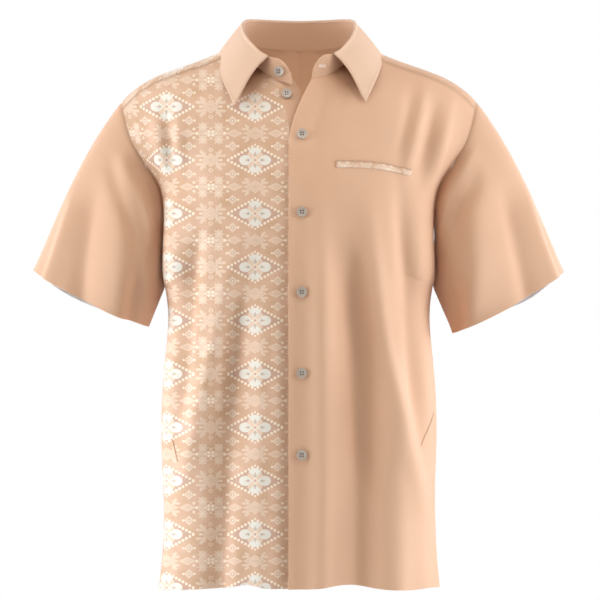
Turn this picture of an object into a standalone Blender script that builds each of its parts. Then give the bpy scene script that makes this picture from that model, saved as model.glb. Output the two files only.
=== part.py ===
"""A short-sleeved batik shirt in its worn form, hollow, with a printed right front and a plain left front.

Units are metres, +Z is up, the shirt faces -Y and +X is the wearer's left. The origin is the middle
between the two shoulders at the base of the neck, where the wearer carries the shirt.
"""

import math

import bpy
import numpy as np
from mathutils import Vector

MM = 0.001

# Driving sizes of the cloth and its seams.
CLOTH = 1.2 * MM
COLLAR_CLOTH = 1.0 * MM
SEAM_GAP = 0.3 * MM
SHOULDER_SEAM_GAP = 0.9 * MM
HEM_Z = -741 * MM
HEM_RISE = 10 * MM
NECK_FRONT_Z = -36 * MM
NECK_BACK_Z = 15.5 * MM
ARMPIT_Z = -319 * MM
BACK_SEAM_Z = -108 * MM
ROUNDNESS = 2.6

# Places that the outer faces look at, by which their normals are turned.
IN_FRONT = (0.0, -2.0, -0.4)
BEHIND = (0.0, 2.0, -0.4)
ABOVE = (0.0, 0.0, 2.0)
BEHIND_NECK = (0.0, 3.0, 0.4)

# The placket: the line of the buttons, the width of the lap, and how far the open neck spreads it.
BUTTON_LINE_X = 4 * MM
LAP_WIDTH = 35 * MM
LAP_STEP = CLOTH + SEAM_GAP
SPREAD_FROM_Z = -122 * MM
NECK_SPREAD = 31 * MM
RIGHT_NECK_DROP = 6 * MM
RIGHT_SHIFT_END = 0.45
NECK_CORNER_FROM = 0.85
LAP_STEP_REACH = (0.05, 0.35)

# The button band is narrower and rolls in as it comes to the neck, from these shares of its length.
BAND_NARROWING = 0.24
BAND_NARROWS_FROM = 0.95
BAND_ROLL = 4 * MM
BAND_ROLLS_FROM = 0.86

# Where the rows of a panel pass its corners, as a share of the panel's rows.
FRONT_NECK_ROW = 0.80
FRONT_ARMPIT_ROW = 0.52
BACK_ARMPIT_ROW = 0.62
YOKE_CENTRE_ROW = 0.60

# Where the seams meet the armhole ring and the neckline ring, as a share of each ring.
ARMHOLE_YOKE_FRONT = 0.48
ARMHOLE_YOKE_BACK = 0.572
NECK_YOKE_FRONT = 0.50
NECK_RIGHT_FRONT = 0.155

# Half the torso at the side seam, and the depths of the centre front and centre back, in millimetres.
TORSO = (
    # height, half width, centre front, centre back
    (-741, 196.0, -124, 124),
    (-650, 188.5, -125, 121),
    (-540, 192.5, -127, 117),
    (-450, 190.0, -129, 114),
    (-390, 184.0, -131, 114),
    (-345, 182.5, -132, 117),
    (-319, 187.0, -132, 121),
    (-250, 188.0, -130, 126),
    (-180, 188.0, -124, 129),
    (-120, 188.0, -112, 126),
    (-75, 188.0, -97, 116),
    (-36, 188.0, -81, 100),
    (15.5, 188.0, -60, 74),
)
SIDE_Y = 6 * MM

# The armhole of the wearer's left, from the armpit up the front, over the shoulder and down the back.
ARMHOLE = (
    # share, x, y, z
    (-0.06, 189.0, 31, -303),
    (0.00, 187.0, 6, -319),
    (0.08, 189.0, -19, -301),
    (0.16, 187.5, -28, -256),
    (0.22, 187.3, -29, -222),
    (0.28, 192.5, -31, -186),
    (0.34, 207.0, -34, -161),
    (0.40, 224.5, -34, -134),
    (0.45, 238.5, -24, -104),
    (0.50, 249.0, 3, -62),
    (0.55, 240.5, 34, -97),
    (0.62, 222.0, 54, -140),
    (0.70, 204.0, 64, -180),
    (0.78, 194.0, 64, -220),
    (0.86, 191.0, 53, -262),
    (0.94, 189.0, 31, -303),
    (1.00, 187.0, 6, -319),
    (1.08, 189.0, -19, -301),
)

# The neckline seam of the wearer's left from the centre front to the centre back.
NECKLINE = (
    # share, x, y, z
    (0.00, 17.5, -81, -36),
    (0.15, 41.0, -74, -29),
    (0.35, 67.0, -49, -8),
    (0.50, 77.0, -24, 12),
    (0.62, 80.0, 4, 23),
    (0.75, 72.0, 34, 22),
    (0.87, 50.0, 58, 18.5),
    (1.00, 0.0, 74, 15.5),
)

# The fold line along the top of the collar stand.
STAND_TOP = (
    # share, x, y, z
    (0.00, 20.0, -83, -10),
    (0.08, 33.0, -82, -3),
    (0.18, 47.0, -76, -1),
    (0.35, 64.0, -54, 13),
    (0.50, 75.0, -27, 30),
    (0.62, 78.5, 0, 45),
    (0.75, 73.0, 30, 54.5),
    (0.87, 51.0, 56, 57),
    (1.00, 0.0, 71, 56.5),
)

# The outer edge of the collar leaf from the collar point to the centre back.
LEAF_EDGE = (
    # share, x, y, z
    (0.00, 91.0, -95, -70),
    (0.20, 104.0, -75, -38),
    (0.38, 115.0, -42, -6.5),
    (0.50, 115.5, -12, 7),
    (0.62, 111.0, 14, 10),
    (0.76, 91.0, 54, 8),
    (0.88, 54.0, 84, 5),
    (1.00, 0.0, 94, 3),
)
LEAF_ROLL = ((0.0, 1.5), (1.4, 1.3), (2.2, -0.4))
LEAF_CROWN = 1.5 * MM
LEAF_BOW = 5 * MM
LEAF_BOW_END = 0.35
LEAF_START = 0.18
LEAF_SHIFT_FADE = (0.1, 0.5)
RIGHT_LEAF_SHIFT = (-2.5, 0.0, -4.5)

# The rounded front ends of the collar stand: their length round the neck and their height.
STAND_END_SHARE = 0.11
STAND_END_ROUND = 0.55

# How the rows of the fronts and the yoke leave a plain rounded section.
FRONT_ROWS = (
    # row, rounded share, crown forward, shoulder drop
    (0.00, 1.00, 0, 0.00),
    (0.52, 1.00, 0, 0.00),
    (0.62, 1.00, 2, 0.00),
    (0.70, 0.95, 8, 0.00),
    (0.80, 0.75, 23, 0.00),
    (0.90, 0.35, 30, 0.07),
    (1.00, 0.00, 18, 0.15),
)
YOKE_ROWS = (
    # row, rounded share, crown forward, shoulder drop
    (0.00, 0.00, 18, 0.15),
    (0.15, 0.00, 2, 0.14),
    (0.35, 0.20, -15, 0.10),
    (0.60, 0.62, -13, 0.05),
    (0.80, 0.93, -3, 0.01),
    (1.00, 1.00, 0, 0.00),
)

# How far the shoulder's curve and a sleeve's swell would reach without being scaled to 1.
SHOULDER_CURVE_PEAK = 27 / 256
SWELL_PEAK = 0.186
LEAF_BOW_PEAK = 4 / 27

# Creases pressed into the fronts: ridges stand out, troughs stand in. Positions are on the wearer's
# left for the plain front and on the wearer's right, mirrored, for the printed front.
LEFT_FOLDS = (
    # x top, z top, x middle, x bottom, z bottom, half width, height
    (96, -222, 121, 176, -650, 12, 11.0),
    (70, -270, 90, 118, -742, 17, -18.0),
    (28, -210, 32, 30, -742, 13, 7.0),
    (140, -190, 154, 168, -540, 12, -8.0),
    (176, -60, 158, 142, -165, 8, 5.0),
    (206, -84, 194, 178, -180, 8, 6.0),
    (186, -78, 178, 168, -150, 8, -5.0),
)
RIGHT_FOLDS = (
    # x top, z top, x middle, x bottom, z bottom, half width, height
    (90, -240, 118, 160, -600, 12, 11.0),
    (138, -250, 150, 164, -600, 11, -8.0),
    (84, -300, 98, 112, -742, 16, -14.0),
    (46, -330, 48, 50, -742, 14, 6.0),
    (198, -90, 194, 186, -160, 7, 4.5),
    (182, -90, 180, 176, -150, 7, -4.5),
)
BACK_FOLDS = (
    # x top, z top, x middle, x bottom, z bottom, half width, height
    (60, -300, 74, 88, -742, 18, 8.0),
    (-70, -260, -86, -96, -742, 16, 8.0),
    (104, -340, 122, 134, -742, 16, -8.0),
    (-20, -380, -14, -8, -742, 20, -6.0),
    (-120, -320, -140, -150, -742, 14, -7.0),
    (150, -180, 128, 96, -330, 16, 5.0),
    (-150, -190, -124, -92, -340, 16, 5.0),
)

# Creases grow and die out over these shares of their length, and die out at the seams from these rows.
FOLD_GROWS = (-0.12, 0.25)
FOLD_ENDS = (0.75, 1.12)
SIDE_FADE = 0.90
FRONT_TOP_FADE = 0.93
BACK_TOP_FADE = 0.90

# Where the front hem is drawn up by its waves.
HEM_WAVES = (
    # x, lift, half width
    (-72, 5.5, 15),
    (66, 5.5, 22),
    (186, 4.0, 14),
)

HEM_RISE_REACH = 120 * MM

# The sleeve's cuff: its inner and outer corner as the wearer's left, and its depth.
LEFT_CUFF = ((215 * MM, -384 * MM), (371 * MM, -299 * MM))
RIGHT_CUFF = ((210 * MM, -376 * MM), (372 * MM, -297 * MM))
CUFF_HALF_DEPTH = 58 * MM
CUFF_Y = 2 * MM
CUFF_SAG = 6 * MM
SLEEVE_CROWN = 9 * MM
SLEEVE_FRONT_BULGE = 24 * MM
SLEEVE_BACK_BULGE = 10 * MM
SLEEVE_SHIFT = (0.3 * MM, 0.0, -0.15 * MM)
DOWN_THE_ARM = (0.47, 0.0, -0.88)
OFF_THE_ARM = (0.88, 0.0, 0.47)
SLEEVE_FOLD_GROWS = (-0.05, 0.35)
SLEEVE_FOLD_ENDS = (0.7, 1.15)
LEFT_SLEEVE_FOLDS = (
    # round start, along start, round end, along end, half width round, height
    (0.44, 0.08, 0.19, 0.95, 0.030, 7.0),
    (0.44, 0.36, 0.30, 1.00, 0.026, -6.0),
    (0.13, 0.28, 0.09, 0.65, 0.026, -5.0),
    (0.70, 0.10, 0.76, 1.00, 0.030, -5.0),
)
RIGHT_SLEEVE_FOLDS = (
    # round start, along start, round end, along end, half width round, height
    (0.46, 0.10, 0.25, 0.97, 0.028, 7.0),
    (0.45, 0.35, 0.30, 1.00, 0.026, -6.0),
    (0.17, 0.42, 0.12, 0.90, 0.028, -5.0),
    (0.72, 0.10, 0.70, 1.00, 0.030, -5.0),
)

# Pocket welts: the places that they pass, as shares across and up a front.
CHEST_WELT = ((0.149, 0.710), (0.266, 0.736), (0.412, 0.759), (0.585, 0.783))
CHEST_WELT_HEIGHT = 10 * MM
SIDE_WELT_LEFT = ((0.84, 0.300), (0.66, 0.246))
SIDE_WELT_RIGHT = ((0.69, 0.257), (0.60, 0.220))
SIDE_WELT_WIDTH = 4 * MM
WELT_CLOTH = 0.8 * MM
WELT_SEAT = 0.9 * MM

# Buttons.
BUTTON_RADIUS = 7 * MM
BUTTON_THICKNESS = 2.6 * MM
BUTTON_DISH = 0.7 * MM
BUTTON_RIM = 1.3 * MM
BUTTON_SHANK = 0.8 * MM
LAP_BUTTONS_Z = (-113 * MM, -219.5 * MM, -328 * MM, -438 * MM, -549 * MM)
BAND_BUTTON_Z = -58 * MM
NECK_BUTTON_SHARE = 0.095
NECK_BUTTON_RISE = 0.5

# How finely the pieces are divided.
HALF_COLUMNS = 14
FRONT_CORNERS = (0.0, FRONT_ARMPIT_ROW, FRONT_NECK_ROW, 1.0)
FRONT_ROW_COUNTS = (13, 7, 7)
BACK_CORNERS = (0.0, BACK_ARMPIT_ROW, 1.0)
BACK_ROW_COUNTS = (13, 8)
YOKE_CORNERS = (0.0, YOKE_CENTRE_ROW, 1.0)
YOKE_ROW_COUNTS = (7, 3)
SLEEVE_ROWS = 9
STAND_ROWS = 3
STAND_END_SHARES = (0.012, 0.03, 0.05, 0.09)
LEAF_COLUMNS = 40
LEAF_ROWS = 4
BAND_COLUMNS = 2
BUTTON_STEPS = 18

COLOURS = {
    "plain cloth": (0.76, 0.50, 0.34),
    "printed cloth": (0.80, 0.60, 0.46),
    "button": (0.55, 0.50, 0.48),
}


def smooth(rows, share):
    """Values at share on the natural cubic curve through the rows, whose first column is the share."""
    table = np.array(rows, dtype=float)
    knots, values = table[:, 0], table[:, 1:]
    step = np.diff(knots)
    count = len(knots)
    system = np.eye(count)
    target = np.zeros_like(values)
    for i in range(1, count - 1):
        system[i, i - 1] = step[i - 1]
        system[i, i] = 2 * (step[i - 1] + step[i])
        system[i, i + 1] = step[i]
        rise = (values[i + 1] - values[i]) / step[i] - (values[i] - values[i - 1]) / step[i - 1]
        target[i] = 6 * rise
    bend = np.linalg.solve(system, target)
    share = np.clip(np.asarray(share, dtype=float), knots[0], knots[-1])
    cell = np.clip(np.searchsorted(knots, share, side="right") - 1, 0, count - 2)
    width = step[cell][..., None]
    ahead = (knots[cell + 1] - share)[..., None]
    behind = (share - knots[cell])[..., None]
    curve = (bend[cell] * ahead ** 3 + bend[cell + 1] * behind ** 3) / (6 * width)
    curve += (values[cell] / width - bend[cell] * width / 6) * ahead
    curve += (values[cell + 1] / width - bend[cell + 1] * width / 6) * behind
    return curve


def steady(rows, share, column):
    """A column of the rows at share on a curve that is level wherever the rows turn or end."""
    table = np.array(rows, dtype=float)
    knots, values = table[:, 0], table[:, column]
    rise = np.diff(values) / np.diff(knots)
    slope = np.zeros_like(values)
    both = rise[:-1] * rise[1:] > 0
    slope[1:-1][both] = 2 * (rise[:-1] * rise[1:])[both] / (rise[:-1] + rise[1:])[both]
    cell = np.clip(np.searchsorted(knots, share, side="right") - 1, 0, len(knots) - 2)
    width = knots[cell + 1] - knots[cell]
    u = (share - knots[cell]) / width
    low = values[cell] * (1 + 2 * u) * (1 - u) ** 2 + values[cell + 1] * u * u * (3 - 2 * u)
    return low + width * (slope[cell] * u * (1 - u) ** 2 - slope[cell + 1] * u * u * (1 - u))


def ease(value, start, end):
    """0 below start, 1 above end, and a soft step between them."""
    x = np.clip((value - start) / (end - start), 0, 1)
    return x * x * (3 - 2 * x)


def torso_at(z):
    """Half width, centre front and centre back of the torso at height z."""
    found = smooth(TORSO, np.asarray(z) / MM) * MM
    return found[..., 0], found[..., 1], found[..., 2]


def armhole(share):
    return smooth(ARMHOLE, share) * MM


def neck_ring(rows, share, side):
    """A point of a ring round the neck, as the wearer's left; its front end differs on each side."""
    points = smooth(rows, share) * MM
    if side < 0:
        front = 1 - ease(share, 0.0, RIGHT_SHIFT_END)
        points[..., 0] -= 2 * BUTTON_LINE_X * front
        points[..., 2] -= RIGHT_NECK_DROP * front
    return points


def spread(z):
    """How far the open neck draws a front away from the line of the buttons at height z."""
    rise = np.clip((z - SPREAD_FROM_Z) / (NECK_FRONT_Z - SPREAD_FROM_Z), 0, None)
    return NECK_SPREAD * rise ** 1.5


def lap_edge(side, z):
    """Distance of a front's edge from the centre of the body, as the wearer's left."""
    if side > 0:
        return BUTTON_LINE_X + spread(z) - LAP_WIDTH / 2
    return spread(z) - BUTTON_LINE_X + LAP_WIDTH / 2


def band_share_of_neck(side):
    """Where the front of one side starts on the neckline ring."""
    return 0.0 if side > 0 else NECK_RIGHT_FRONT


def front_ends(side, t):
    """The inner and outer ends of the rows of a front, as the wearer's left."""
    t = np.asarray(t, dtype=float)
    z = HEM_Z + (NECK_FRONT_Z - HEM_Z) * np.minimum(t / FRONT_NECK_ROW, 1)
    inner = np.stack([lap_edge(side, z), torso_at(z)[1], z], axis=-1)
    start = band_share_of_neck(side)
    neck = start + (NECK_YOKE_FRONT - start) * (t - FRONT_NECK_ROW) / (1 - FRONT_NECK_ROW)
    ring = neck_ring(NECKLINE, np.maximum(neck, start), side)
    corner = neck_ring(NECKLINE, np.array([start]), side)[0]
    lift = corner - np.array([lap_edge(side, NECK_FRONT_Z), torso_at(NECK_FRONT_Z)[1], NECK_FRONT_Z])
    inner = inner + lift * ease(t / FRONT_NECK_ROW, NECK_CORNER_FROM, 1.0)[..., None]
    inner = np.where((t > FRONT_NECK_ROW)[..., None], ring, inner)
    z = HEM_Z + (ARMPIT_Z - HEM_Z) * np.minimum(t / FRONT_ARMPIT_ROW, 1)
    outer = np.stack([torso_at(z)[0], np.full_like(z, SIDE_Y), z], axis=-1)
    share = ARMHOLE_YOKE_FRONT * (t - FRONT_ARMPIT_ROW) / (1 - FRONT_ARMPIT_ROW)
    outer = np.where((t > FRONT_ARMPIT_ROW)[..., None], armhole(np.maximum(share, 0)), outer)
    return inner, outer


def back_ends(t):
    """The inner and outer ends of the rows of the back, from the hem up to the yoke."""
    t = np.asarray(t, dtype=float)
    z = HEM_Z + (BACK_SEAM_Z - HEM_Z) * t
    inner = np.stack([np.zeros_like(z), torso_at(z)[2], z], axis=-1)
    z = HEM_Z + (ARMPIT_Z - HEM_Z) * np.minimum(t / BACK_ARMPIT_ROW, 1)
    outer = np.stack([torso_at(z)[0], np.full_like(z, SIDE_Y), z], axis=-1)
    share = 1 - (1 - ARMHOLE_YOKE_BACK) * (t - BACK_ARMPIT_ROW) / (1 - BACK_ARMPIT_ROW)
    outer = np.where((t > BACK_ARMPIT_ROW)[..., None], armhole(np.minimum(share, 1)), outer)
    return inner, outer


def yoke_ends(side, t):
    """The inner and outer ends of the rows of a yoke, from its front seam back to its back seam."""
    t = np.asarray(t, dtype=float)
    share = NECK_YOKE_FRONT + (1 - NECK_YOKE_FRONT) * np.minimum(t / YOKE_CENTRE_ROW, 1)
    inner = neck_ring(NECKLINE, share, side)
    down = np.maximum(t - YOKE_CENTRE_ROW, 0) / (1 - YOKE_CENTRE_ROW)
    z = NECK_BACK_Z + (BACK_SEAM_Z - NECK_BACK_Z) * down
    centre = np.stack([np.zeros_like(z), torso_at(z)[2], z], axis=-1)
    inner = np.where((t > YOKE_CENTRE_ROW)[..., None], centre, inner)
    outer = armhole(ARMHOLE_YOKE_FRONT + (ARMHOLE_YOKE_BACK - ARMHOLE_YOKE_FRONT) * t)
    return inner, outer


def across(inner, outer, s, rounded, crown, drop):
    """The points at shares s of each row: a rounded section blended with a straight, crowned one."""
    turn = s * math.pi / 2
    arc_x = np.sin(turn) ** (2 / ROUNDNESS)
    arc_y = np.cos(turn) ** (2 / ROUNDNESS)
    x_share = rounded * arc_x + (1 - rounded) * s
    y_share = rounded * arc_y + (1 - rounded) * (1 - s)
    fall = x_share - drop * x_share ** 3 * (1 - x_share) / SHOULDER_CURVE_PEAK
    x = inner[..., 0] + (outer[..., 0] - inner[..., 0]) * x_share
    y = outer[..., 1] + (inner[..., 1] - outer[..., 1]) * y_share
    y = y - crown * 4 * x_share * (1 - x_share)
    z = inner[..., 2] + (outer[..., 2] - inner[..., 2]) * fall
    return np.stack([x, y, z], axis=-1)


def row_shape(rows, t):
    return steady(rows, t, 1), steady(rows, t, 2) * MM, steady(rows, t, 3)


def fold_heights(folds, x, z):
    """The height of all the creases at the points (x, z) as seen from the front."""
    total = np.zeros_like(x)
    for x_top, z_top, x_middle, x_bottom, z_bottom, half_width, height in folds:
        down = (z / MM - z_top) / (z_bottom - z_top)
        path = x_top + (4 * x_middle - 3 * x_top - x_bottom) * down
        path = path + (2 * x_top + 2 * x_bottom - 4 * x_middle) * down * down
        fade = ease(down, *FOLD_GROWS)
        if z_bottom > HEM_Z / MM:
            fade = fade * (1 - ease(down, *FOLD_ENDS))
        total += height * MM * fade * np.exp(-0.5 * ((x / MM - path) / half_width) ** 2)
    return total


def hem_lift(x, z):
    """How far the front hem rises to its middle, with the waves that draw the cloth up."""
    lift = HEM_RISE * (1 - (x / (TORSO[0][1] * MM)) ** 4)
    for centre, height, half_width in HEM_WAVES:
        lift += height * MM * np.exp(-0.5 * ((x / MM - centre) / half_width) ** 2)
    return lift * (1 - ease(z, HEM_Z, HEM_Z + HEM_RISE_REACH))


def turned_in(normal, points, outside):
    """Whether the normals of a grid of points look away from the point outside."""
    middle = tuple((size - 1) // 2 for size in points.shape[:2])
    return np.dot(normal[middle], np.array(outside) - points[middle]) < 0


def raw_normals(points):
    along = np.gradient(points, axis=0)
    aside = np.gradient(points, axis=1)
    normal = np.cross(along, aside)
    return normal / (np.linalg.norm(normal, axis=-1, keepdims=True) + 1e-12)


def surface_normals(points, outside):
    """Unit normals of a grid of points, turned to the side on which the point outside is."""
    normal = raw_normals(points)
    return -normal if turned_in(normal, points, outside) else normal


def front_surface(side, s, t):
    """Points of a front at shares s across and t up, with its creases."""
    inner, outer = front_ends(side, t)
    rounded, crown, drop = row_shape(FRONT_ROWS, t)
    points = across(inner, outer, s, rounded, crown, drop)
    points[..., 0] *= side
    normal = surface_normals(points, IN_FRONT)
    folds = LEFT_FOLDS if side > 0 else RIGHT_FOLDS
    fade = (1 - ease(s, SIDE_FADE, 1.0)) * (1 - ease(t, FRONT_TOP_FADE, 1.0))
    height = fold_heights(folds, np.abs(points[..., 0]), points[..., 2]) * fade
    points = points + normal * height[..., None]
    points[..., 2] += hem_lift(points[..., 0], points[..., 2])
    if side < 0:
        under = (1 - ease(s, *LAP_STEP_REACH)) * (1 - ease(t, FRONT_NECK_ROW, 1.0))
        points = points - normal * (LAP_STEP * under)[..., None]
    return points


def back_surface(s, t):
    """Points of the back with its creases; s runs from -1 at the wearer's right side to 1 at the left."""
    inner, outer = back_ends(t)
    one = np.ones_like(t)
    points = across(inner, outer, np.abs(s), one, 0 * one, 0 * one)
    points[..., 0] *= np.where(s < 0, -1, 1)
    normal = surface_normals(points, BEHIND)
    fade = (1 - ease(np.abs(s), SIDE_FADE, 1.0)) * (1 - ease(t, BACK_TOP_FADE, 1.0))
    height = fold_heights(BACK_FOLDS, points[..., 0], points[..., 2]) * fade
    return points + normal * height[..., None]


def yoke_surface(side, s, t):
    inner, outer = yoke_ends(side, t)
    rounded, crown, drop = row_shape(YOKE_ROWS, t)
    points = across(inner, outer, s, rounded, crown, drop)
    points[..., 0] *= side
    return points


def sleeve_surface(side, a, v):
    """Points of a sleeve; a runs round it from the armpit to the front, v from armhole to cuff."""
    start = armhole(a) + np.array(SLEEVE_SHIFT)
    (inner_x, inner_z), (outer_x, outer_z) = LEFT_CUFF if side > 0 else RIGHT_CUFF
    inner = np.array([inner_x, CUFF_Y, inner_z])
    outer = np.array([outer_x, CUFF_Y, outer_z])
    turn = 2 * math.pi * a
    centre = (inner + outer) / 2
    cuff = centre - (outer - inner) / 2 * np.cos(turn)[..., None]
    cuff[..., 1] -= CUFF_HALF_DEPTH * np.sin(turn)
    sag = CUFF_SAG * np.sin(turn) ** 2
    cuff = cuff + np.array(DOWN_THE_ARM) * sag[..., None]
    points = start + (cuff - start) * v[..., None]
    swell = v * (1 - v) ** 1.5 / SWELL_PEAK
    front = np.clip(np.sin(turn), 0, None) ** 1.5
    behind = np.clip(-np.sin(turn), 0, None) ** 1.5
    crown = np.clip(-np.cos(turn), 0, None) ** 2
    points[..., 1] -= swell * (SLEEVE_FRONT_BULGE * front - SLEEVE_BACK_BULGE * behind)
    points = points + np.array(OFF_THE_ARM) * (swell * SLEEVE_CROWN * crown)[..., None]
    ring_middle = start.mean(axis=(0, 1))
    out = points - (ring_middle + (centre - ring_middle) * v[..., None])
    out /= np.linalg.norm(out, axis=-1, keepdims=True)
    folds = LEFT_SLEEVE_FOLDS if side > 0 else RIGHT_SLEEVE_FOLDS
    height = np.zeros_like(v)
    for a_start, v_start, a_end, v_end, half_width, rise in folds:
        reach = (v - v_start) / (v_end - v_start)
        path = a_start + (a_end - a_start) * reach
        fade = ease(reach, *SLEEVE_FOLD_GROWS)
        if v_end < 1:
            fade = fade * (1 - ease(reach, *SLEEVE_FOLD_ENDS))
        height += rise * MM * fade * np.exp(-0.5 * ((a - path) / half_width) ** 2)
    points = points + out * height[..., None]
    points[..., 0] *= side
    return points


def rows_through(corners, counts):
    """Shares that run through all the corners, with the given number of steps between them."""
    pieces = [np.linspace(a, b, n, endpoint=False) for a, b, n in zip(corners, corners[1:], counts)]
    return np.concatenate(pieces + [np.array([corners[-1]])])


def armhole_shares():
    """Shares of the armhole ring at the ends of the rows of the front, the yoke and the back."""
    front = rows_through(FRONT_CORNERS, FRONT_ROW_COUNTS)[FRONT_ROW_COUNTS[0]:-1]
    front = ARMHOLE_YOKE_FRONT * (front - FRONT_ARMPIT_ROW) / (1 - FRONT_ARMPIT_ROW)
    yoke = rows_through(YOKE_CORNERS, YOKE_ROW_COUNTS)[:-1]
    yoke = ARMHOLE_YOKE_FRONT + (ARMHOLE_YOKE_BACK - ARMHOLE_YOKE_FRONT) * yoke
    back = np.linspace(ARMHOLE_YOKE_BACK, 1, BACK_ROW_COUNTS[1], endpoint=False)
    return np.concatenate([front, yoke, back])


def neck_shares(side):
    """Shares of the neckline ring at the ends of the rows of a front and a yoke."""
    start = band_share_of_neck(side)
    front = np.linspace(start, NECK_YOKE_FRONT, FRONT_ROW_COUNTS[2], endpoint=False)
    back = np.linspace(NECK_YOKE_FRONT, 1, YOKE_ROW_COUNTS[0] + 1)
    band = np.linspace(0, start, BAND_COLUMNS, endpoint=False) if side < 0 else np.array([])
    return np.concatenate([band, front, back])


def grid(s_values, t_values):
    return np.meshgrid(np.asarray(s_values), np.asarray(t_values), indexing="ij")


def front_grid(side):
    """The grid of points of which a front is made."""
    rows = rows_through(FRONT_CORNERS, FRONT_ROW_COUNTS)
    s_grid, t_grid = grid(np.linspace(0, 1, HALF_COLUMNS + 1), rows)
    return front_surface(side, s_grid, t_grid)


def frame_in_grid(points, at):
    """Point, sideways slope and upward slope of a grid at a column and row that need not be whole."""
    cell = np.clip(np.floor(at), 0, np.array(points.shape[:2]) - 2).astype(int)
    u, w = at - cell
    near = points[cell[0]:cell[0] + 2, cell[1]:cell[1] + 2]
    aside = (near[1, 0] - near[0, 0]) * (1 - w) + (near[1, 1] - near[0, 1]) * w
    up = (near[0, 1] - near[0, 0]) * (1 - u) + (near[1, 1] - near[1, 0]) * u
    return near[0, 0] + (near[1, 0] - near[0, 0]) * u + up * w, aside, up


def frame_on_front(side, x, z):
    """The point and the normal at which the faces of a front pass the place (x, z)."""
    points = front_grid(side)
    wanted = np.array([x, z])
    start = np.argmin(np.linalg.norm(points[..., [0, 2]] - wanted, axis=-1))
    at = np.array(np.unravel_index(start, points.shape[:2]), dtype=float)
    for _ in range(30):
        point, aside, up = frame_in_grid(points, at)
        slope = np.stack([aside, up], axis=1)[[0, 2]]
        at = at + np.linalg.solve(slope, wanted - point[[0, 2]])
    normal = np.cross(aside, up) * side
    return point, normal / np.linalg.norm(normal)


def finish_mesh(name, points, faces, material, cloth, offset):
    """An object with a wall of the given thickness on an open surface."""
    mesh = bpy.data.meshes.new(name)
    mesh.from_pydata([tuple(p) for p in points], [], faces)
    mesh.shade_smooth()
    mesh.materials.append(material)
    piece = bpy.data.objects.new(name, mesh)
    shirt.objects.link(piece)
    wall = piece.modifiers.new("Wall", "SOLIDIFY")
    wall.thickness = cloth
    wall.offset = offset
    return piece


def pull_back_edges(points, seams):
    """Move the edges at the seams inwards by half of each gap; the shoulders' walls lean together."""
    pulled = points.copy()
    edges = {"first_s": (0, 0), "last_s": (0, -1), "first_t": (1, 0), "last_t": (1, -1)}
    for seam in seams:
        axis, end = edges[seam]
        distance = (SEAM_GAP if axis == 0 else SHOULDER_SEAM_GAP) / 2
        near = np.take(points, end, axis=axis)
        inside = np.take(points, 1 if end == 0 else -2, axis=axis)
        away = inside - near
        away = away / np.linalg.norm(away, axis=-1, keepdims=True) * distance
        if axis == 0:
            pulled[end] = pulled[end] + away
        else:
            pulled[:, end] = pulled[:, end] + away
    return pulled


def cloth_piece(name, points, outside, material, cloth=CLOTH, closed=False, seams=(), offset=-1.0):
    """A wall of cloth on a grid of points; outside is a point that its outer face looks at."""
    points = pull_back_edges(points, seams)
    across_count, up_count = points.shape[:2]
    last = across_count if closed else across_count - 1
    flip = turned_in(raw_normals(points), points, outside)
    faces = []
    for i in range(last):
        for j in range(up_count - 1):
            k = (i + 1) % across_count
            corners = [i * up_count + j, k * up_count + j, k * up_count + j + 1, i * up_count + j + 1]
            faces.append(corners[::-1] if flip else corners)
    return finish_mesh(name, points.reshape(-1, 3), faces, material, cloth, offset)


def make_front(side, name, material):
    seams = ["last_s", "last_t"]
    if side < 0:
        seams.append("first_s")
    cloth_piece(name, front_grid(side), IN_FRONT, material, seams=seams)


def band_surface(w, t):
    """Points of the button band; w runs from its seam with the right front to its free edge."""
    seam_line = front_surface(-1, *grid([0.0, 0.02], t[0]))[0]
    narrowing = BAND_NARROWING * ease(t[0], BAND_NARROWS_FROM * FRONT_NECK_ROW, FRONT_NECK_ROW)
    width = LAP_WIDTH * (1 - narrowing)
    points = seam_line[None] + w[..., None] * np.array([1.0, 0, 0]) * width[None, :, None]
    roll = BAND_ROLL * ease(t[0], BAND_ROLLS_FROM * FRONT_NECK_ROW, FRONT_NECK_ROW)
    points[..., 1] += w ** 2 * roll
    for point in points.reshape(-1, 3):
        covered = max(point[0], lap_edge(1, point[2]))
        over = frame_on_front(1, covered, point[2])[0]
        point[1] = max(point[1], over[1] + LAP_STEP)
    return points


def make_band(material):
    rows = rows_through(FRONT_CORNERS[:3], FRONT_ROW_COUNTS[:2])
    w_grid, t_grid = grid(np.linspace(0, 1, BAND_COLUMNS + 1), rows)
    points = band_surface(w_grid, t_grid)
    cloth_piece("button_band", points, IN_FRONT, material, seams=("first_s", "last_t"))


def make_back(material):
    rows = rows_through(BACK_CORNERS, BACK_ROW_COUNTS)
    s_grid, t_grid = grid(np.linspace(-1, 1, 2 * HALF_COLUMNS + 1), rows)
    points = back_surface(s_grid, t_grid)
    cloth_piece("back", points, BEHIND, material, seams=("first_s", "last_s", "last_t"))


def make_yoke(side, name, material):
    rows = rows_through(YOKE_CORNERS, YOKE_ROW_COUNTS)
    s_grid, t_grid = grid(np.linspace(0, 1, HALF_COLUMNS + 1), rows)
    points = yoke_surface(side, s_grid, t_grid)
    cloth_piece(name, points, ABOVE, material, seams=("first_s", "last_s", "first_t", "last_t"))


def make_sleeve(side, name, material):
    a_grid, v_grid = grid(armhole_shares(), np.linspace(0, 1, SLEEVE_ROWS + 1) ** 1.3)
    points = sleeve_surface(side, a_grid, v_grid)
    cloth_piece(name, points, (side * 5.0, 0.0, 2.0), material, closed=True)


def collar_line(rows, left_shares, right_shares):
    """A line round the neck from the wearer's left front end to the right front end."""
    left = neck_ring(rows, left_shares, 1)
    right = neck_ring(rows, right_shares, -1) * np.array([-1.0, 1.0, 1.0])
    return np.concatenate([left, right[-2::-1]])


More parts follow.
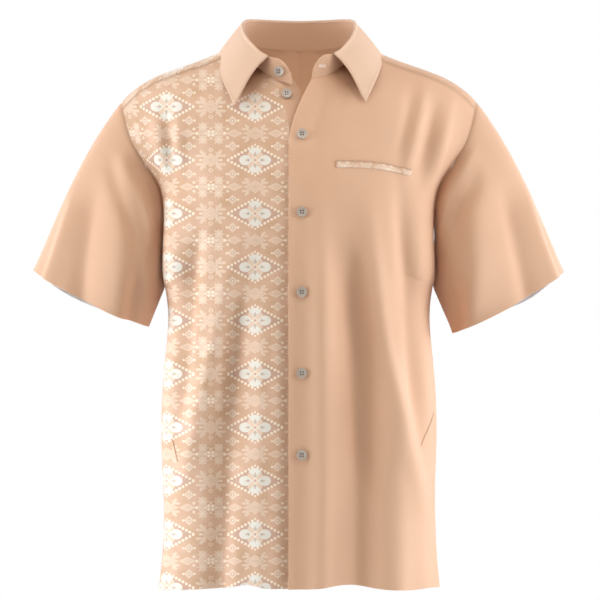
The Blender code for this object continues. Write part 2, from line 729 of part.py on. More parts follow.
def stand_points(left_shares, right_shares, w):
    """The collar stand between the neckline and its fold line, with its front ends rounded off."""
    bottom = collar_line(NECKLINE, left_shares, right_shares)
    top = collar_line(STAND_TOP, left_shares, right_shares)
    rise = top - bottom
    bottom = bottom + rise / np.linalg.norm(rise, axis=-1, keepdims=True) * (SEAM_GAP + CLOTH)
    shares = np.concatenate([left_shares, right_shares[-2::-1]])
    reach = np.clip(1 - shares / STAND_END_SHARE, 0, 1)
    height = 1 - STAND_END_ROUND * (1 - np.sqrt(1 - reach ** 2))
    return bottom[:, None] + (top - bottom)[:, None] * height[:, None, None] * w[None, :, None]


def make_stand(material):
    shares = [np.union1d(neck_shares(side), STAND_END_SHARES) for side in (1, -1)]
    points = stand_points(*shares, np.linspace(0, 1, STAND_ROWS + 1))
    cloth_piece("collar_stand", points, BEHIND_NECK, material, offset=0.0)


def leaf_points(shares, steps):
    """The collar leaf: a short roll over the top of the stand, then out and down to the edge."""
    on_fold = LEAF_START + (1 - LEAF_START) * shares
    fold = collar_line(STAND_TOP, on_fold, on_fold)
    left = smooth(LEAF_EDGE, shares) * MM
    shift = (1 - ease(shares, *LEAF_SHIFT_FADE))[:, None] * np.array(RIGHT_LEAF_SHIFT) * MM
    edge = np.concatenate([left, (left + shift)[-2::-1] * np.array([-1.0, 1.0, 1.0])])
    out = fold * np.array([1.0, 1.0, 0.0])
    out /= np.linalg.norm(out, axis=-1, keepdims=True)
    up = np.array([0.0, 0.0, 1.0])
    lines = [fold + out * aside * MM + up * above * MM for aside, above in LEAF_ROLL]
    both_sides = np.concatenate([shares, shares[-2::-1]])
    bow = LEAF_BOW * np.clip(1 - both_sides / LEAF_BOW_END, 0, 1) / LEAF_BOW_PEAK
    sideways = np.sign(fold[:, :1]) * np.array([1.0, 0.0, 0.0])
    start = lines[-1]
    for step in steps[1:]:
        line = start + (edge - start) * step
        line = line + out * (LEAF_CROWN * 4 * step * (1 - step))
        line = line + sideways * bow[:, None] * (step * (1 - step) ** 2)
        lines.append(line)
    return np.stack(lines, axis=1)


def make_leaf(material):
    shares = np.linspace(0, 1, LEAF_COLUMNS // 2 + 1)
    points = leaf_points(shares, np.linspace(0, 1, LEAF_ROWS + 1))
    cloth_piece("collar_leaf", points, BEHIND_NECK, material, cloth=COLLAR_CLOTH, offset=0.0)


def make_welt(name, side, places, height, material, steps):
    """A narrow strip on a front, along places that are given as shares across and up it."""
    points = front_grid(side)
    path = np.array([np.interp(np.linspace(0, 1, steps + 1), np.linspace(0, 1, len(places)), shares)
                     for shares in zip(*places)])
    rows = rows_through(FRONT_CORNERS, FRONT_ROW_COUNTS)
    path[0] *= HALF_COLUMNS
    path[1] = np.interp(path[1], rows, range(len(rows)))
    frames = [frame_in_grid(points, at) for at in path.T]
    centre = np.array([point for point, _, _ in frames])
    normal = np.array([np.cross(aside, up) * side for _, aside, up in frames])
    normal /= np.linalg.norm(normal, axis=-1, keepdims=True)
    across_strip = np.cross(normal, np.gradient(centre, axis=0))
    across_strip /= np.linalg.norm(across_strip, axis=-1, keepdims=True)
    centre = centre + normal * (WELT_SEAT + WELT_CLOTH)
    strip = np.stack([centre + across_strip * rise for rise in (-height / 2, height / 2)], axis=1)
    cloth_piece(name, strip, IN_FRONT, material, cloth=WELT_CLOTH)


def frame_on_band(z):
    """A point on the middle of the button band and its normal at height z."""
    t = (z - HEM_Z) / (NECK_FRONT_Z - HEM_Z) * FRONT_NECK_ROW
    points = band_surface(*grid([0.4, 0.5, 0.6], [t - 0.01, t, t + 0.01]))
    return points[1, 1], surface_normals(points, IN_FRONT)[1, 1]


def frame_on_stand(side, share, rise):
    """A point on the outer face of the collar stand and its normal."""
    shares = np.array([share - 0.01, share, share + 0.01])
    bottom = neck_ring(NECKLINE, shares, side)
    top = neck_ring(STAND_TOP, shares, side)
    w = np.array([rise - 0.1, rise, rise + 0.1])
    points = bottom[:, None] + (top - bottom)[:, None] * w[None, :, None]
    points[..., 0] *= side
    normal = surface_normals(points, IN_FRONT)[1, 1]
    return points[1, 1] + normal * CLOTH / 2, normal


def make_button(name, point, normal, material):
    """A turned button with a raised rim, sewn on a short shank of thread."""
    profile = (
        (0.0, BUTTON_THICKNESS - BUTTON_DISH),
        (BUTTON_RADIUS - BUTTON_RIM, BUTTON_THICKNESS - BUTTON_DISH),
        (BUTTON_RADIUS - 0.5 * BUTTON_RIM, BUTTON_THICKNESS),
        (BUTTON_RADIUS, 0.7 * BUTTON_THICKNESS),
        (BUTTON_RADIUS, 0.4 * BUTTON_THICKNESS),
        (BUTTON_RADIUS - BUTTON_RIM, 0.0),
        (0.0, 0.0),
    )
    mesh = bpy.data.meshes.new(name)
    edges = [(i, i + 1) for i in range(len(profile) - 1)]
    mesh.from_pydata([(radius, 0.0, height) for radius, height in profile], edges, [])
    mesh.materials.append(material)
    button = bpy.data.objects.new(name, mesh)
    shirt.objects.link(button)
    turn = button.modifiers.new("Turn", "SCREW")
    turn.steps = BUTTON_STEPS
    turn.render_steps = BUTTON_STEPS
    turn.use_merge_vertices = True
    turn.merge_threshold = 0.00001
    button.rotation_euler = Vector(normal).to_track_quat("Z", "Y").to_euler()
    button.location = Vector(point + normal * BUTTON_SHANK)


def make_material(name, roughness):
    material = bpy.data.materials.new(name)
    material.use_nodes = True
    shader = material.node_tree.nodes["Principled BSDF"]
    shader.inputs["Base Color"].default_value = COLOURS[name] + (1.0,)
    shader.inputs["Roughness"].default_value = roughness
    shader.inputs["Metallic"].default_value = 0.0
    return material


for old in list(bpy.data.objects):
    bpy.data.objects.remove(old)
shirt = bpy.data.collections.new("batik_shirt")
bpy.context.scene.collection.children.link(shirt)

plain = make_material("plain cloth", 0.85)
printed = make_material("printed cloth", 0.85)
pearl = make_material("button", 0.3)

make_front(1, "front_left", plain)
make_front(-1, "front_right", printed)
make_band(plain)
make_back(plain)
make_yoke(1, "yoke_left", plain)
make_yoke(-1, "yoke_right", printed)
make_sleeve(1, "sleeve_left", plain)
make_sleeve(-1, "sleeve_right", plain)
make_stand(plain)
make_leaf(plain)
make_welt("chest_welt", 1, CHEST_WELT, CHEST_WELT_HEIGHT, printed, 18)
make_welt("side_welt_left", 1, SIDE_WELT_LEFT, SIDE_WELT_WIDTH, plain, 8)
make_welt("side_welt_right", -1, SIDE_WELT_RIGHT, SIDE_WELT_WIDTH, plain, 8)

for number, height in enumerate(LAP_BUTTONS_Z):
    make_button("button_%d" % (number + 2), *frame_on_front(1, BUTTON_LINE_X, height), pearl)
make_button("button_1", *frame_on_band(BAND_BUTTON_Z), pearl)
make_button("button_neck", *frame_on_stand(-1, NECK_BUTTON_SHARE, NECK_BUTTON_RISE), pearl)
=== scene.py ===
# %% [markdown]
# # A batik shirt in its worn form
#
# The shirt is a short-sleeved one, shown filled out as if somebody wore it, but empty. Its right front
# is printed, its left front, back and sleeves are plain. This lesson dresses the hard CAD model of the
# shirt: every piece of cloth is made again as a thin shell with creases, turned hems and a finish, and
# the buttons get their holes and thread.
#
# The CAD model comes first, because everything else is placed in its frame.

# %% Load the CAD frame
import math

import bpy
import numpy as np
from mathutils import Matrix, Vector


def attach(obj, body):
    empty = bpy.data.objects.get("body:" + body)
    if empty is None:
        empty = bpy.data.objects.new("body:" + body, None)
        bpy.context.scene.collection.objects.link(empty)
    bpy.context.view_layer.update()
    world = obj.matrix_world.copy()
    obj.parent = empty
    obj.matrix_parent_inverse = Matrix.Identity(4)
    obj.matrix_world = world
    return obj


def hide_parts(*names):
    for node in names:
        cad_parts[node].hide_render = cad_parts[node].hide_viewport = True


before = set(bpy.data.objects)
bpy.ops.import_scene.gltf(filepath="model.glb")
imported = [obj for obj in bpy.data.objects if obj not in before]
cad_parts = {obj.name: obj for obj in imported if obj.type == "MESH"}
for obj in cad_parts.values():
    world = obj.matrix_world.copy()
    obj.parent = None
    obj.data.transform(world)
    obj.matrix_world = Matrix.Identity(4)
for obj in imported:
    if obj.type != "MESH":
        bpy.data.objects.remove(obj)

MM = 0.001
scene = bpy.context.scene
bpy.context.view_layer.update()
bpy.ops.object.select_all(action="DESELECT")
print("CAD nodes:", ", ".join(sorted(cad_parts)))

# %% [markdown]
# ## Camera
#
# The shirt is seen straight from the front, from far away, so that both sleeves look alike. A long lens
# four metres away could be set by its angle, but it is easier to say how wide a strip of the world it
# has to show at the side seams, and to work out the lens from that.

# %% Camera
CAMERA_DISTANCE = 4.0
STRIP_WIDTH = 0.84
STRIP_CENTRE = (0.0014, -0.339)
SENSOR = 36.0

bpy.ops.object.camera_add(
    location=(STRIP_CENTRE[0], -CAMERA_DISTANCE, STRIP_CENTRE[1]),
    rotation=(math.radians(90), 0, 0),
)
camera = bpy.context.object
camera.name = "front_camera"
camera.data.sensor_width = SENSOR
camera.data.lens = SENSOR * CAMERA_DISTANCE / STRIP_WIDTH
scene.camera = camera
print("lens:", round(camera.data.lens, 1), "mm")

# %% [markdown]
# ## Light, background and floor
#
# The cloth is lit from both sides by broad lamps that stand a little in front of it: the sides of the
# shirt and the flanks of its creases shine, the middle is calmer, and the hollows go dark. That is what
# makes folds readable on a plain cloth. Weaker lamps further forward and higher up fill the middle, a
# very small one hangs inside the shirt for the inside of the neck, and three light the back. The two at
# the sides are tinted cool, the front, high and collar ones a little warm and the one inside warmer,
# which keeps the shades of the peach cloth apart.
#
# The paper-white background is the world itself. It would flood the creases with light if it lit the
# scene as strongly as it shows, so only the camera sees it white.

# %% World
WHITE = (1.0, 1.0, 1.0, 1.0)
WORLD_FILL = 0.08
FILL_TINT = (1.0, 0.94, 0.84, 1.0)

world = bpy.data.worlds.new("studio")
world.use_nodes = True
scene.world = world
scene.view_settings.view_transform = "Standard"
sky = world.node_tree
seen = sky.nodes["Background"]
seen.inputs["Color"].default_value = WHITE
seen.inputs["Strength"].default_value = 1.0
fill = sky.nodes.new("ShaderNodeBackground")
fill.inputs["Color"].default_value = FILL_TINT
fill.inputs["Strength"].default_value = WORLD_FILL
ray = sky.nodes.new("ShaderNodeLightPath")
choice = sky.nodes.new("ShaderNodeMixShader")
sky.links.new(ray.outputs["Is Camera Ray"], choice.inputs["Fac"])
sky.links.new(fill.outputs["Background"], choice.inputs[1])
sky.links.new(seen.outputs["Background"], choice.inputs[2])
sky.links.new(choice.outputs["Shader"], sky.nodes["World Output"].inputs["Surface"])
print("world: white to the camera, fill light", WORLD_FILL)

# %% Lamps
MIDDLE = (0.0, 0.0, -0.35)
COOL = (0.96, 1.06, 1.14)
NEUTRAL = (1.0, 1.0, 1.0)
MILD = (1.03, 1.0, 0.92)
WARM = (1.0, 0.95, 0.78)
LAMPS = {
    # name: place, aim, watts, width, tint
    "left_side_lamp": ((-2.9, -0.5, -0.2), MIDDLE, 54.0, 1.4, COOL),
    "right_side_lamp": ((2.9, -0.5, -0.2), MIDDLE, 54.0, 1.4, COOL),
    "left_front_lamp": ((-2.6, -1.5, 0.0), MIDDLE, 15.0, 1.4, MILD),
    "right_front_lamp": ((2.6, -1.5, 0.0), MIDDLE, 15.0, 1.4, MILD),
    "left_high_lamp": ((-2.0, -1.2, 2.0), MIDDLE, 31.0, 1.4, MILD),
    "right_high_lamp": ((2.0, -1.2, 2.0), MIDDLE, 31.0, 1.4, MILD),
    "top_lamp": ((0.0, -0.3, 3.0), MIDDLE, 2.0, 1.4, NEUTRAL),
    "collar_lamp": ((0.0, -0.60, 0.60), MIDDLE, 1.5, 0.3, MILD),
    "inside_lamp": ((0.0, -0.02, -0.16), (0.0, 0.09, 0.0), 0.11, 0.06, WARM),
    "left_back_lamp": ((-2.3, 1.8, 0.5), MIDDLE, 36.0, 1.4, NEUTRAL),
    "right_back_lamp": ((2.3, 1.8, 0.5), MIDDLE, 36.0, 1.4, NEUTRAL),
    "back_lamp": ((0.0, 3.0, 0.8), MIDDLE, 30.0, 1.4, NEUTRAL),
}

for name, (place, aim, watts, width, tint) in LAMPS.items():
    turn = (Vector(aim) - Vector(place)).to_track_quat("-Z", "Y").to_euler()
    bpy.ops.object.light_add(type="AREA", location=place, rotation=turn)
    lamp = bpy.context.object
    lamp.name = name
    lamp.data.energy = watts
    lamp.data.size = width
    lamp.data.color = tint
print("lamps:", len(LAMPS))

# %% Floor
FLOOR_Z = -1.45
FLOOR_WIDTH = 11.0
FLOOR_ROUGHNESS = 0.9
PALE = (0.86, 0.86, 0.85, 1.0)


def new_finish(name, **sliders):
    """A new material and its shader, with some of the shader's sliders set."""
    material = bpy.data.materials.new(name)
    material.use_nodes = True
    shader = material.node_tree.nodes["Principled BSDF"]
    for slider, value in sliders.items():
        shader.inputs[slider.replace("_", " ")].default_value = value
    return material, shader


bpy.ops.mesh.primitive_plane_add(size=FLOOR_WIDTH, location=(0, 0, FLOOR_Z))
floor = bpy.context.object
floor.name = "floor"
paint, _ = new_finish("pale floor", Base_Color=PALE, Roughness=FLOOR_ROUGHNESS)
floor.data.materials.append(paint)
bpy.ops.object.select_all(action="DESELECT")
print("floor:", FLOOR_WIDTH, "m wide, at height", FLOOR_Z, "m")

# %% [markdown]
# ## The form of the shirt
#
# A maker drafts a shirt from a few lines round the body: the side seams, the armhole, the neckline, the
# hem. The same lines shape these pieces. Each is a short table of places in millimetres, and smooth
# curves run through them. The tables are those of the CAD model, so each shell lies on its solid.
#
# Modelling the folds with a brush would work too, but a curve from a table can be drawn again at any
# fineness, and both halves of a seam stay together.

# %% Lines of the body
HEM_Z = -741 * MM
HEM_RISE = 10 * MM
NECK_FRONT_Z = -36 * MM
NECK_BACK_Z = 15.5 * MM
ARMPIT_Z = -319 * MM
BACK_SEAM_Z = -108 * MM
ROUNDNESS = 2.6
SIDE_Y = 6 * MM

TORSO = (
    # height, half width, centre front, centre back
    (-741, 196.0, -124, 124),
    (-650, 188.5, -125, 121),
    (-540, 192.5, -127, 117),
    (-450, 190.0, -129, 114),
    (-390, 184.0, -131, 114),
    (-345, 182.5, -132, 117),
    (-319, 187.0, -132, 121),
    (-250, 188.0, -130, 126),
    (-180, 188.0, -124, 129),
    (-120, 188.0, -112, 126),
    (-75, 188.0, -97, 116),
    (-36, 188.0, -81, 100),
    (15.5, 188.0, -60, 74),
)
ARMHOLE = (
    # share round, x, y, z
    (-0.06, 189.0, 31, -303),
    (0.00, 187.0, 6, -319),
    (0.08, 189.0, -19, -301),
    (0.16, 187.5, -28, -256),
    (0.22, 187.3, -29, -222),
    (0.28, 192.5, -31, -186),
    (0.34, 207.0, -34, -161),
    (0.40, 224.5, -34, -134),
    (0.45, 238.5, -24, -104),
    (0.50, 249.0, 3, -62),
    (0.55, 240.5, 34, -97),
    (0.62, 222.0, 54, -140),
    (0.70, 204.0, 64, -180),
    (0.78, 194.0, 64, -220),
    (0.86, 191.0, 53, -262),
    (0.94, 189.0, 31, -303),
    (1.00, 187.0, 6, -319),
    (1.08, 189.0, -19, -301),
)
NECKLINE = (
    # share from centre front to centre back, x, y, z
    (0.00, 17.5, -81, -36),
    (0.15, 41.0, -74, -29),
    (0.35, 67.0, -49, -8),
    (0.50, 77.0, -24, 12),
    (0.62, 80.0, 4, 23),
    (0.75, 72.0, 34, 22),
    (0.87, 50.0, 58, 18.5),
    (1.00, 0.0, 74, 15.5),
    (1.13, -50.0, 58, 18.5),
)

# %% Where the pieces meet
BUTTON_LINE_X = 4 * MM
LAP_WIDTH = 35 * MM
LAP_STEP = 3.2 * MM
LAP_ENDS = 0.76
SPREAD_FROM_Z = -122 * MM
NECK_SPREAD = 31 * MM
RIGHT_NECK_DROP = 6 * MM
RIGHT_NECK_START = 0.155
RIGHT_SHIFT_ENDS = 0.45
NECK_CORNER_FROM = 0.85

FRONT_NECK_ROW = 0.80
FRONT_ARMPIT_ROW = 0.52
BACK_ARMPIT_ROW = 0.62
YOKE_CENTRE_ROW = 0.60
ARMHOLE_YOKE_FRONT = 0.48
ARMHOLE_YOKE_BACK = 0.572
NECK_YOKE_FRONT = 0.50

FRONT_ROWS = (
    # row, rounded share, crown forward, shoulder drop
    (0.00, 1.00, 0, 0.00),
    (0.52, 1.00, 0, 0.00),
    (0.62, 1.00, 2, 0.00),
    (0.70, 0.95, 8, 0.00),
    (0.80, 0.75, 23, 0.00),
    (0.90, 0.35, 30, 0.07),
    (1.00, 0.00, 18, 0.15),
)
YOKE_ROWS = (
    # row, rounded share, crown forward, shoulder drop
    (0.00, 0.00, 18, 0.15),
    (0.15, 0.00, 2, 0.14),
    (0.35, 0.20, -15, 0.10),
    (0.60, 0.62, -13, 0.05),
    (0.80, 0.93, -3, 0.01),
    (1.00, 1.00, 0, 0.00),
)

# %% [markdown]
# ## Creases
#
# The cloth hangs from the shoulders and the chest, so most of its folds run down, and they lean out
# towards the hips. Each is a soft ridge or trough along a bent line. They are placed one by one, uneven in
# length, depth and spacing: even ones look like a curtain. The back was not to be seen, so it gets folds
# of the same kind in places of its own.

# %% Creases of the body
LEFT_FOLDS = (
    # x top, z top, x middle, x bottom, z bottom, half width, height
    (96, -222, 121, 176, -650, 10, 12.0),
    (70, -270, 82, 100, -590, 16, -17.5),
    (118, -440, 124, 126, -742, 19, 21.0),
    (84, -520, 84, 84, -742, 13, -8.0),
    (28, -210, 32, 30, -742, 11, 9.0),
    (140, -190, 154, 168, -540, 10, -13.0),
    (150, -560, 160, 168, -742, 15, 6.0),
    (173, -60, 158, 144, -170, 7, 6.0),
    (206, -80, 194, 176, -180, 8, 8.0),
    (187, -70, 179, 166, -155, 7, -6.0),
    (158, -50, 150, 140, -135, 7, -4.0),
    (44, -40, 32, 16, -125, 9, -4.5),
)
RIGHT_FOLDS = (
    # x top, z top, x middle, x bottom, z bottom, half width, height
    (79, -240, 116, 160, -600, 11, 12.0),
    (138, -250, 157, 168, -520, 9, -14.0),
    (172, -190, 174, 172, -340, 9, 5.0),
    (84, -300, 98, 112, -742, 14, -15.5),
    (46, -330, 48, 50, -742, 11, 8.0),
    (196, -84, 192, 186, -160, 6, 6.0),
    (181, -84, 179, 176, -155, 6, -6.0),
    (165, -84, 165, 164, -155, 6, 5.0),
)
BACK_FOLDS = (
    # x top, z top, x middle, x bottom, z bottom, half width, height
    (60, -300, 74, 88, -742, 18, 8.0),
    (-70, -260, -86, -96, -742, 16, 8.0),
    (104, -340, 122, 134, -742, 16, -8.0),
    (-20, -380, -14, -8, -742, 20, -6.0),
    (-120, -320, -140, -150, -742, 14, -7.0),
    (150, -180, 128, 96, -330, 16, 5.0),
    (-150, -190, -124, -92, -340, 16, 5.0),
    (168, -230, 150, 128, -380, 9, -2.5),
    (-164, -240, -150, -126, -390, 10, -2.5),
    (30, -430, 38, 44, -742, 10, -3.0),
    (-46, -470, -50, -56, -742, 9, 2.5),
)
HEM_WAVES = (
    # x, lift, half width
    (-72, 5.5, 15),
    (66, 5.5, 22),
    (186, 4.0, 14),
)

# %% [markdown]
# ## Curves through the tables
#
# Three small tools do all the drafting. A natural cubic curve runs through places in space, like a bent
# spline of wood. A steadier curve never swings past the numbers that it is given, which suits shares and
# depths. The ease is a soft step, for whatever fades in or out.

# %% Curves
def smooth(rows, share):
    """Values at share on the natural cubic curve through the rows, whose first column is the share."""
    table = np.array(rows, dtype=float)
    knots, values = table[:, 0], table[:, 1:]
    step = np.diff(knots)
    count = len(knots)
    system = np.eye(count)
    target = np.zeros_like(values)
    for i in range(1, count - 1):
        system[i, i - 1] = step[i - 1]
        system[i, i] = 2 * (step[i - 1] + step[i])
        system[i, i + 1] = step[i]
        rise = (values[i + 1] - values[i]) / step[i] - (values[i] - values[i - 1]) / step[i - 1]
        target[i] = 6 * rise
    bend = np.linalg.solve(system, target)
    share = np.clip(np.asarray(share, dtype=float), knots[0], knots[-1])
    cell = np.clip(np.searchsorted(knots, share, side="right") - 1, 0, count - 2)
    width = step[cell][..., None]
    ahead = (knots[cell + 1] - share)[..., None]
    behind = (share - knots[cell])[..., None]
    curve = (bend[cell] * ahead ** 3 + bend[cell + 1] * behind ** 3) / (6 * width)
    curve += (values[cell] / width - bend[cell] * width / 6) * ahead
    curve += (values[cell + 1] / width - bend[cell + 1] * width / 6) * behind
    return curve


def steady(rows, share, column):
    """A column of the rows at share on a curve that is level wherever the rows turn or end."""
    table = np.array(rows, dtype=float)
    knots, values = table[:, 0], table[:, column]
    rise = np.diff(values) / np.diff(knots)
    slope = np.zeros_like(values)
    both = rise[:-1] * rise[1:] > 0
    slope[1:-1][both] = 2 * (rise[:-1] * rise[1:])[both] / (rise[:-1] + rise[1:])[both]
    cell = np.clip(np.searchsorted(knots, share, side="right") - 1, 0, len(knots) - 2)
    width = knots[cell + 1] - knots[cell]
    u = (share - knots[cell]) / width
    low = values[cell] * (1 + 2 * u) * (1 - u) ** 2 + values[cell + 1] * u * u * (3 - 2 * u)
    return low + width * (slope[cell] * u * (1 - u) ** 2 - slope[cell + 1] * u * u * (1 - u))


def ease(value, start, end):
    """0 below start, 1 above end, and a soft step between them."""
    x = np.clip((value - start) / (end - start), 0, 1)
    return x * x * (3 - 2 * x)


def bell(distance, half_width):
    """1 at no distance, falling off softly on both sides."""
    return np.exp(-0.5 * (distance / half_width) ** 2)


def unit(vectors):
    return vectors / (np.linalg.norm(vectors, axis=-1, keepdims=True) + 1e-12)

# %% Seam lines
def torso_at(z):
    """Half width, centre front and centre back of the torso at height z."""
    found = smooth(TORSO, np.asarray(z) / MM) * MM
    return found[..., 0], found[..., 1], found[..., 2]


def armhole(share):
    return smooth(ARMHOLE, share) * MM


def neck_ring(rows, share, side):
    """A point of a ring round the neck, as the wearer's left; its front end differs on each side."""
    points = smooth(rows, share) * MM
    if side < 0:
        front = 1 - ease(share, 0.0, RIGHT_SHIFT_ENDS)
        points[..., 0] -= 2 * BUTTON_LINE_X * front
        points[..., 2] -= RIGHT_NECK_DROP * front
    return points


def spread(z):
    """How far the open neck draws a front away from the line of the buttons at height z."""
    rise = np.clip((z - SPREAD_FROM_Z) / (NECK_FRONT_Z - SPREAD_FROM_Z), 0, None)
    return NECK_SPREAD * rise ** 1.5


def lap_edge(side, z):
    """Distance of a front's edge from the centre of the body, as the wearer's left."""
    if side > 0:
        return BUTTON_LINE_X + spread(z) - LAP_WIDTH / 2
    return spread(z) - BUTTON_LINE_X + LAP_WIDTH / 2

# %% [markdown]
# ## Panels of the body
#
# Each panel is a grid: rows run from its inner end to its outer end, and columns run up. The ends of the
# rows lie on the seam lines, and the section between them is rounded like a chest, or flat like the top
# of a shoulder. The creases push the points out along the surface.

# %% Ends of the rows
def outer_ends(t, armpit_row, start, end):
    """Outer ends of rows: on the side seam up to the armpit, then on the armhole from start to end."""
    z = HEM_Z + (ARMPIT_Z - HEM_Z) * np.minimum(t / armpit_row, 1)
    side_seam = np.stack([torso_at(z)[0], np.full_like(z, SIDE_Y), z], axis=-1)
    above = np.maximum(t - armpit_row, 0) / (1 - armpit_row)
    return np.where((t > armpit_row)[..., None], armhole(start + (end - start) * above), side_seam)


def front_ends(side, t):
    """The inner and outer ends of the rows of a front, as the wearer's left."""
    t = np.asarray(t, dtype=float)
    z = HEM_Z + (NECK_FRONT_Z - HEM_Z) * np.minimum(t / FRONT_NECK_ROW, 1)
    inner = np.stack([lap_edge(side, z), torso_at(z)[1], z], axis=-1)
    start = 0.0 if side > 0 else RIGHT_NECK_START
    neck = start + (NECK_YOKE_FRONT - start) * (t - FRONT_NECK_ROW) / (1 - FRONT_NECK_ROW)
    ring = neck_ring(NECKLINE, np.maximum(neck, start), side)
    corner = neck_ring(NECKLINE, np.array([start]), side)[0]
    lift = corner - np.array([lap_edge(side, NECK_FRONT_Z), torso_at(NECK_FRONT_Z)[1], NECK_FRONT_Z])
    inner = inner + lift * ease(t / FRONT_NECK_ROW, NECK_CORNER_FROM, 1.0)[..., None]
    inner = np.where((t > FRONT_NECK_ROW)[..., None], ring, inner)
    return inner, outer_ends(t, FRONT_ARMPIT_ROW, 0.0, ARMHOLE_YOKE_FRONT)


def back_ends(t):
    """The inner and outer ends of the rows of the back, from the hem up to the yoke."""
    t = np.asarray(t, dtype=float)
    z = HEM_Z + (BACK_SEAM_Z - HEM_Z) * t
    inner = np.stack([np.zeros_like(z), torso_at(z)[2], z], axis=-1)
    return inner, outer_ends(t, BACK_ARMPIT_ROW, 1.0, ARMHOLE_YOKE_BACK)


def yoke_ends(side, t):
    """The inner and outer ends of the rows of a yoke, from its front seam back to its back seam."""
    t = np.asarray(t, dtype=float)
    share = NECK_YOKE_FRONT + (1 - NECK_YOKE_FRONT) * np.minimum(t / YOKE_CENTRE_ROW, 1)
    inner = neck_ring(NECKLINE, share, side)
    down = np.maximum(t - YOKE_CENTRE_ROW, 0) / (1 - YOKE_CENTRE_ROW)
    z = NECK_BACK_Z + (BACK_SEAM_Z - NECK_BACK_Z) * down
    centre = np.stack([np.zeros_like(z), torso_at(z)[2], z], axis=-1)
    inner = np.where((t > YOKE_CENTRE_ROW)[..., None], centre, inner)
    outer = armhole(ARMHOLE_YOKE_FRONT + (ARMHOLE_YOKE_BACK - ARMHOLE_YOKE_FRONT) * t)
    return inner, outer

# %% Sections and creases
DROP_SCALE = 0.1055
FOLD_GROWS = (-0.12, 0.25)
FOLD_ENDS = (0.75, 1.12)
HEM_RISE_REACH = 120 * MM


def across(inner, outer, s, rounded, crown, drop):
    """The points at shares s of each row: a rounded section blended with a straight, crowned one."""
    turn = s * math.pi / 2
    x_share = rounded * np.sin(turn) ** (2 / ROUNDNESS) + (1 - rounded) * s
    y_share = rounded * np.cos(turn) ** (2 / ROUNDNESS) + (1 - rounded) * (1 - s)
    fall = x_share - drop * x_share ** 3 * (1 - x_share) / DROP_SCALE
    x = inner[..., 0] + (outer[..., 0] - inner[..., 0]) * x_share
    y = outer[..., 1] + (inner[..., 1] - outer[..., 1]) * y_share
    y = y - crown * 4 * x_share * (1 - x_share)
    z = inner[..., 2] + (outer[..., 2] - inner[..., 2]) * fall
    return np.stack([x, y, z], axis=-1)


def row_shape(rows, t):
    return steady(rows, t, 1), steady(rows, t, 2) * MM, steady(rows, t, 3)


def fold_heights(folds, x, z):
    """The height of all the creases at the points (x, z) as seen from the front."""
    total = np.zeros_like(x)
    for x_top, z_top, x_middle, x_bottom, z_bottom, half_width, height in folds:
        down = (z / MM - z_top) / (z_bottom - z_top)
        path = x_top + (4 * x_middle - 3 * x_top - x_bottom) * down
        path = path + (2 * x_top + 2 * x_bottom - 4 * x_middle) * down * down
        fade = ease(down, *FOLD_GROWS)
        if z_bottom > HEM_Z / MM:
            fade = fade * (1 - ease(down, *FOLD_ENDS))
        total += height * MM * fade * bell(x / MM - path, half_width)
    return total


def hem_lift(x, z):
    """How far the front hem rises to its middle, with the waves that draw the cloth up."""
    lift = HEM_RISE * (1 - (x / (TORSO[0][1] * MM)) ** 4)
    for centre, height, half_width in HEM_WAVES:
        lift += height * MM * bell(x / MM - centre, half_width)
    return lift * (1 - ease(z, HEM_Z, HEM_Z + HEM_RISE_REACH))


def normals_of(points, outside):
    """Unit normals of a grid of points, turned to the side on which the point outside is."""
    normal = unit(np.cross(np.gradient(points, axis=0), np.gradient(points, axis=1)))
    middle = tuple((size - 1) // 2 for size in points.shape[:2])
    inward = np.dot(normal[middle], np.array(outside) - points[middle]) < 0
    return -normal if inward else normal

# %% Surfaces of the body
OUTSIDE_FRONT = (0.1, -2.0, -0.4)
OUTSIDE_BACK = (0.0, 2.0, -0.4)
OUTSIDE_YOKE = (0.1, 0.0, 2.0)
SOFT_CENTRE = 0.12
SOFT_CENTRE_FROM = 0.50
FRONT_SIDE_FADE = (0.93, 1.0)
FRONT_TOP_FADE = (0.96, 1.0)
BACK_SIDE_FADE = (0.90, 1.0)
BACK_TOP_FADE = (0.90, 1.0)
LAP_STEP_REACH = (0.05, 0.35)


def mirrored(place, side):
    return (place[0] * side, place[1], place[2])


def front_surface(side, s, t):
    """Points of a front at shares s across and t up, with its creases."""
    inner, outer = front_ends(side, t)
    points = across(inner, outer, s, *row_shape(FRONT_ROWS, t))
    points[..., 0] *= side
    normal = normals_of(points, mirrored(OUTSIDE_FRONT, side))
    folds = LEFT_FOLDS if side > 0 else RIGHT_FOLDS
    height = fold_heights(folds, np.abs(points[..., 0]), points[..., 2])
    height = height * (1 - ease(s, *FRONT_SIDE_FADE)) * (1 - ease(t, *FRONT_TOP_FADE))
    points = points + normal * height[..., None]
    points[..., 2] += hem_lift(points[..., 0], points[..., 2])
    if side < 0:
        under = (1 - ease(s, *LAP_STEP_REACH)) * (1 - ease(t, LAP_ENDS, FRONT_NECK_ROW))
        points = points - normal * (LAP_STEP * under)[..., None]
    return points


def back_surface(s, t):
    """Points of the back; s runs from -1 at the wearer's right side to 1 at the left."""
    inner, outer = back_ends(t)
    one = np.ones_like(t)
    points = across(inner, outer, np.abs(s), one, 0 * one, 0 * one)
    points[..., 0] *= np.where(s < 0, -1, 1)
    height = fold_heights(BACK_FOLDS, points[..., 0], points[..., 2])
    height = height * (1 - ease(np.abs(s), *BACK_SIDE_FADE)) * (1 - ease(t, *BACK_TOP_FADE))
    return points + normals_of(points, OUTSIDE_BACK) * height[..., None]


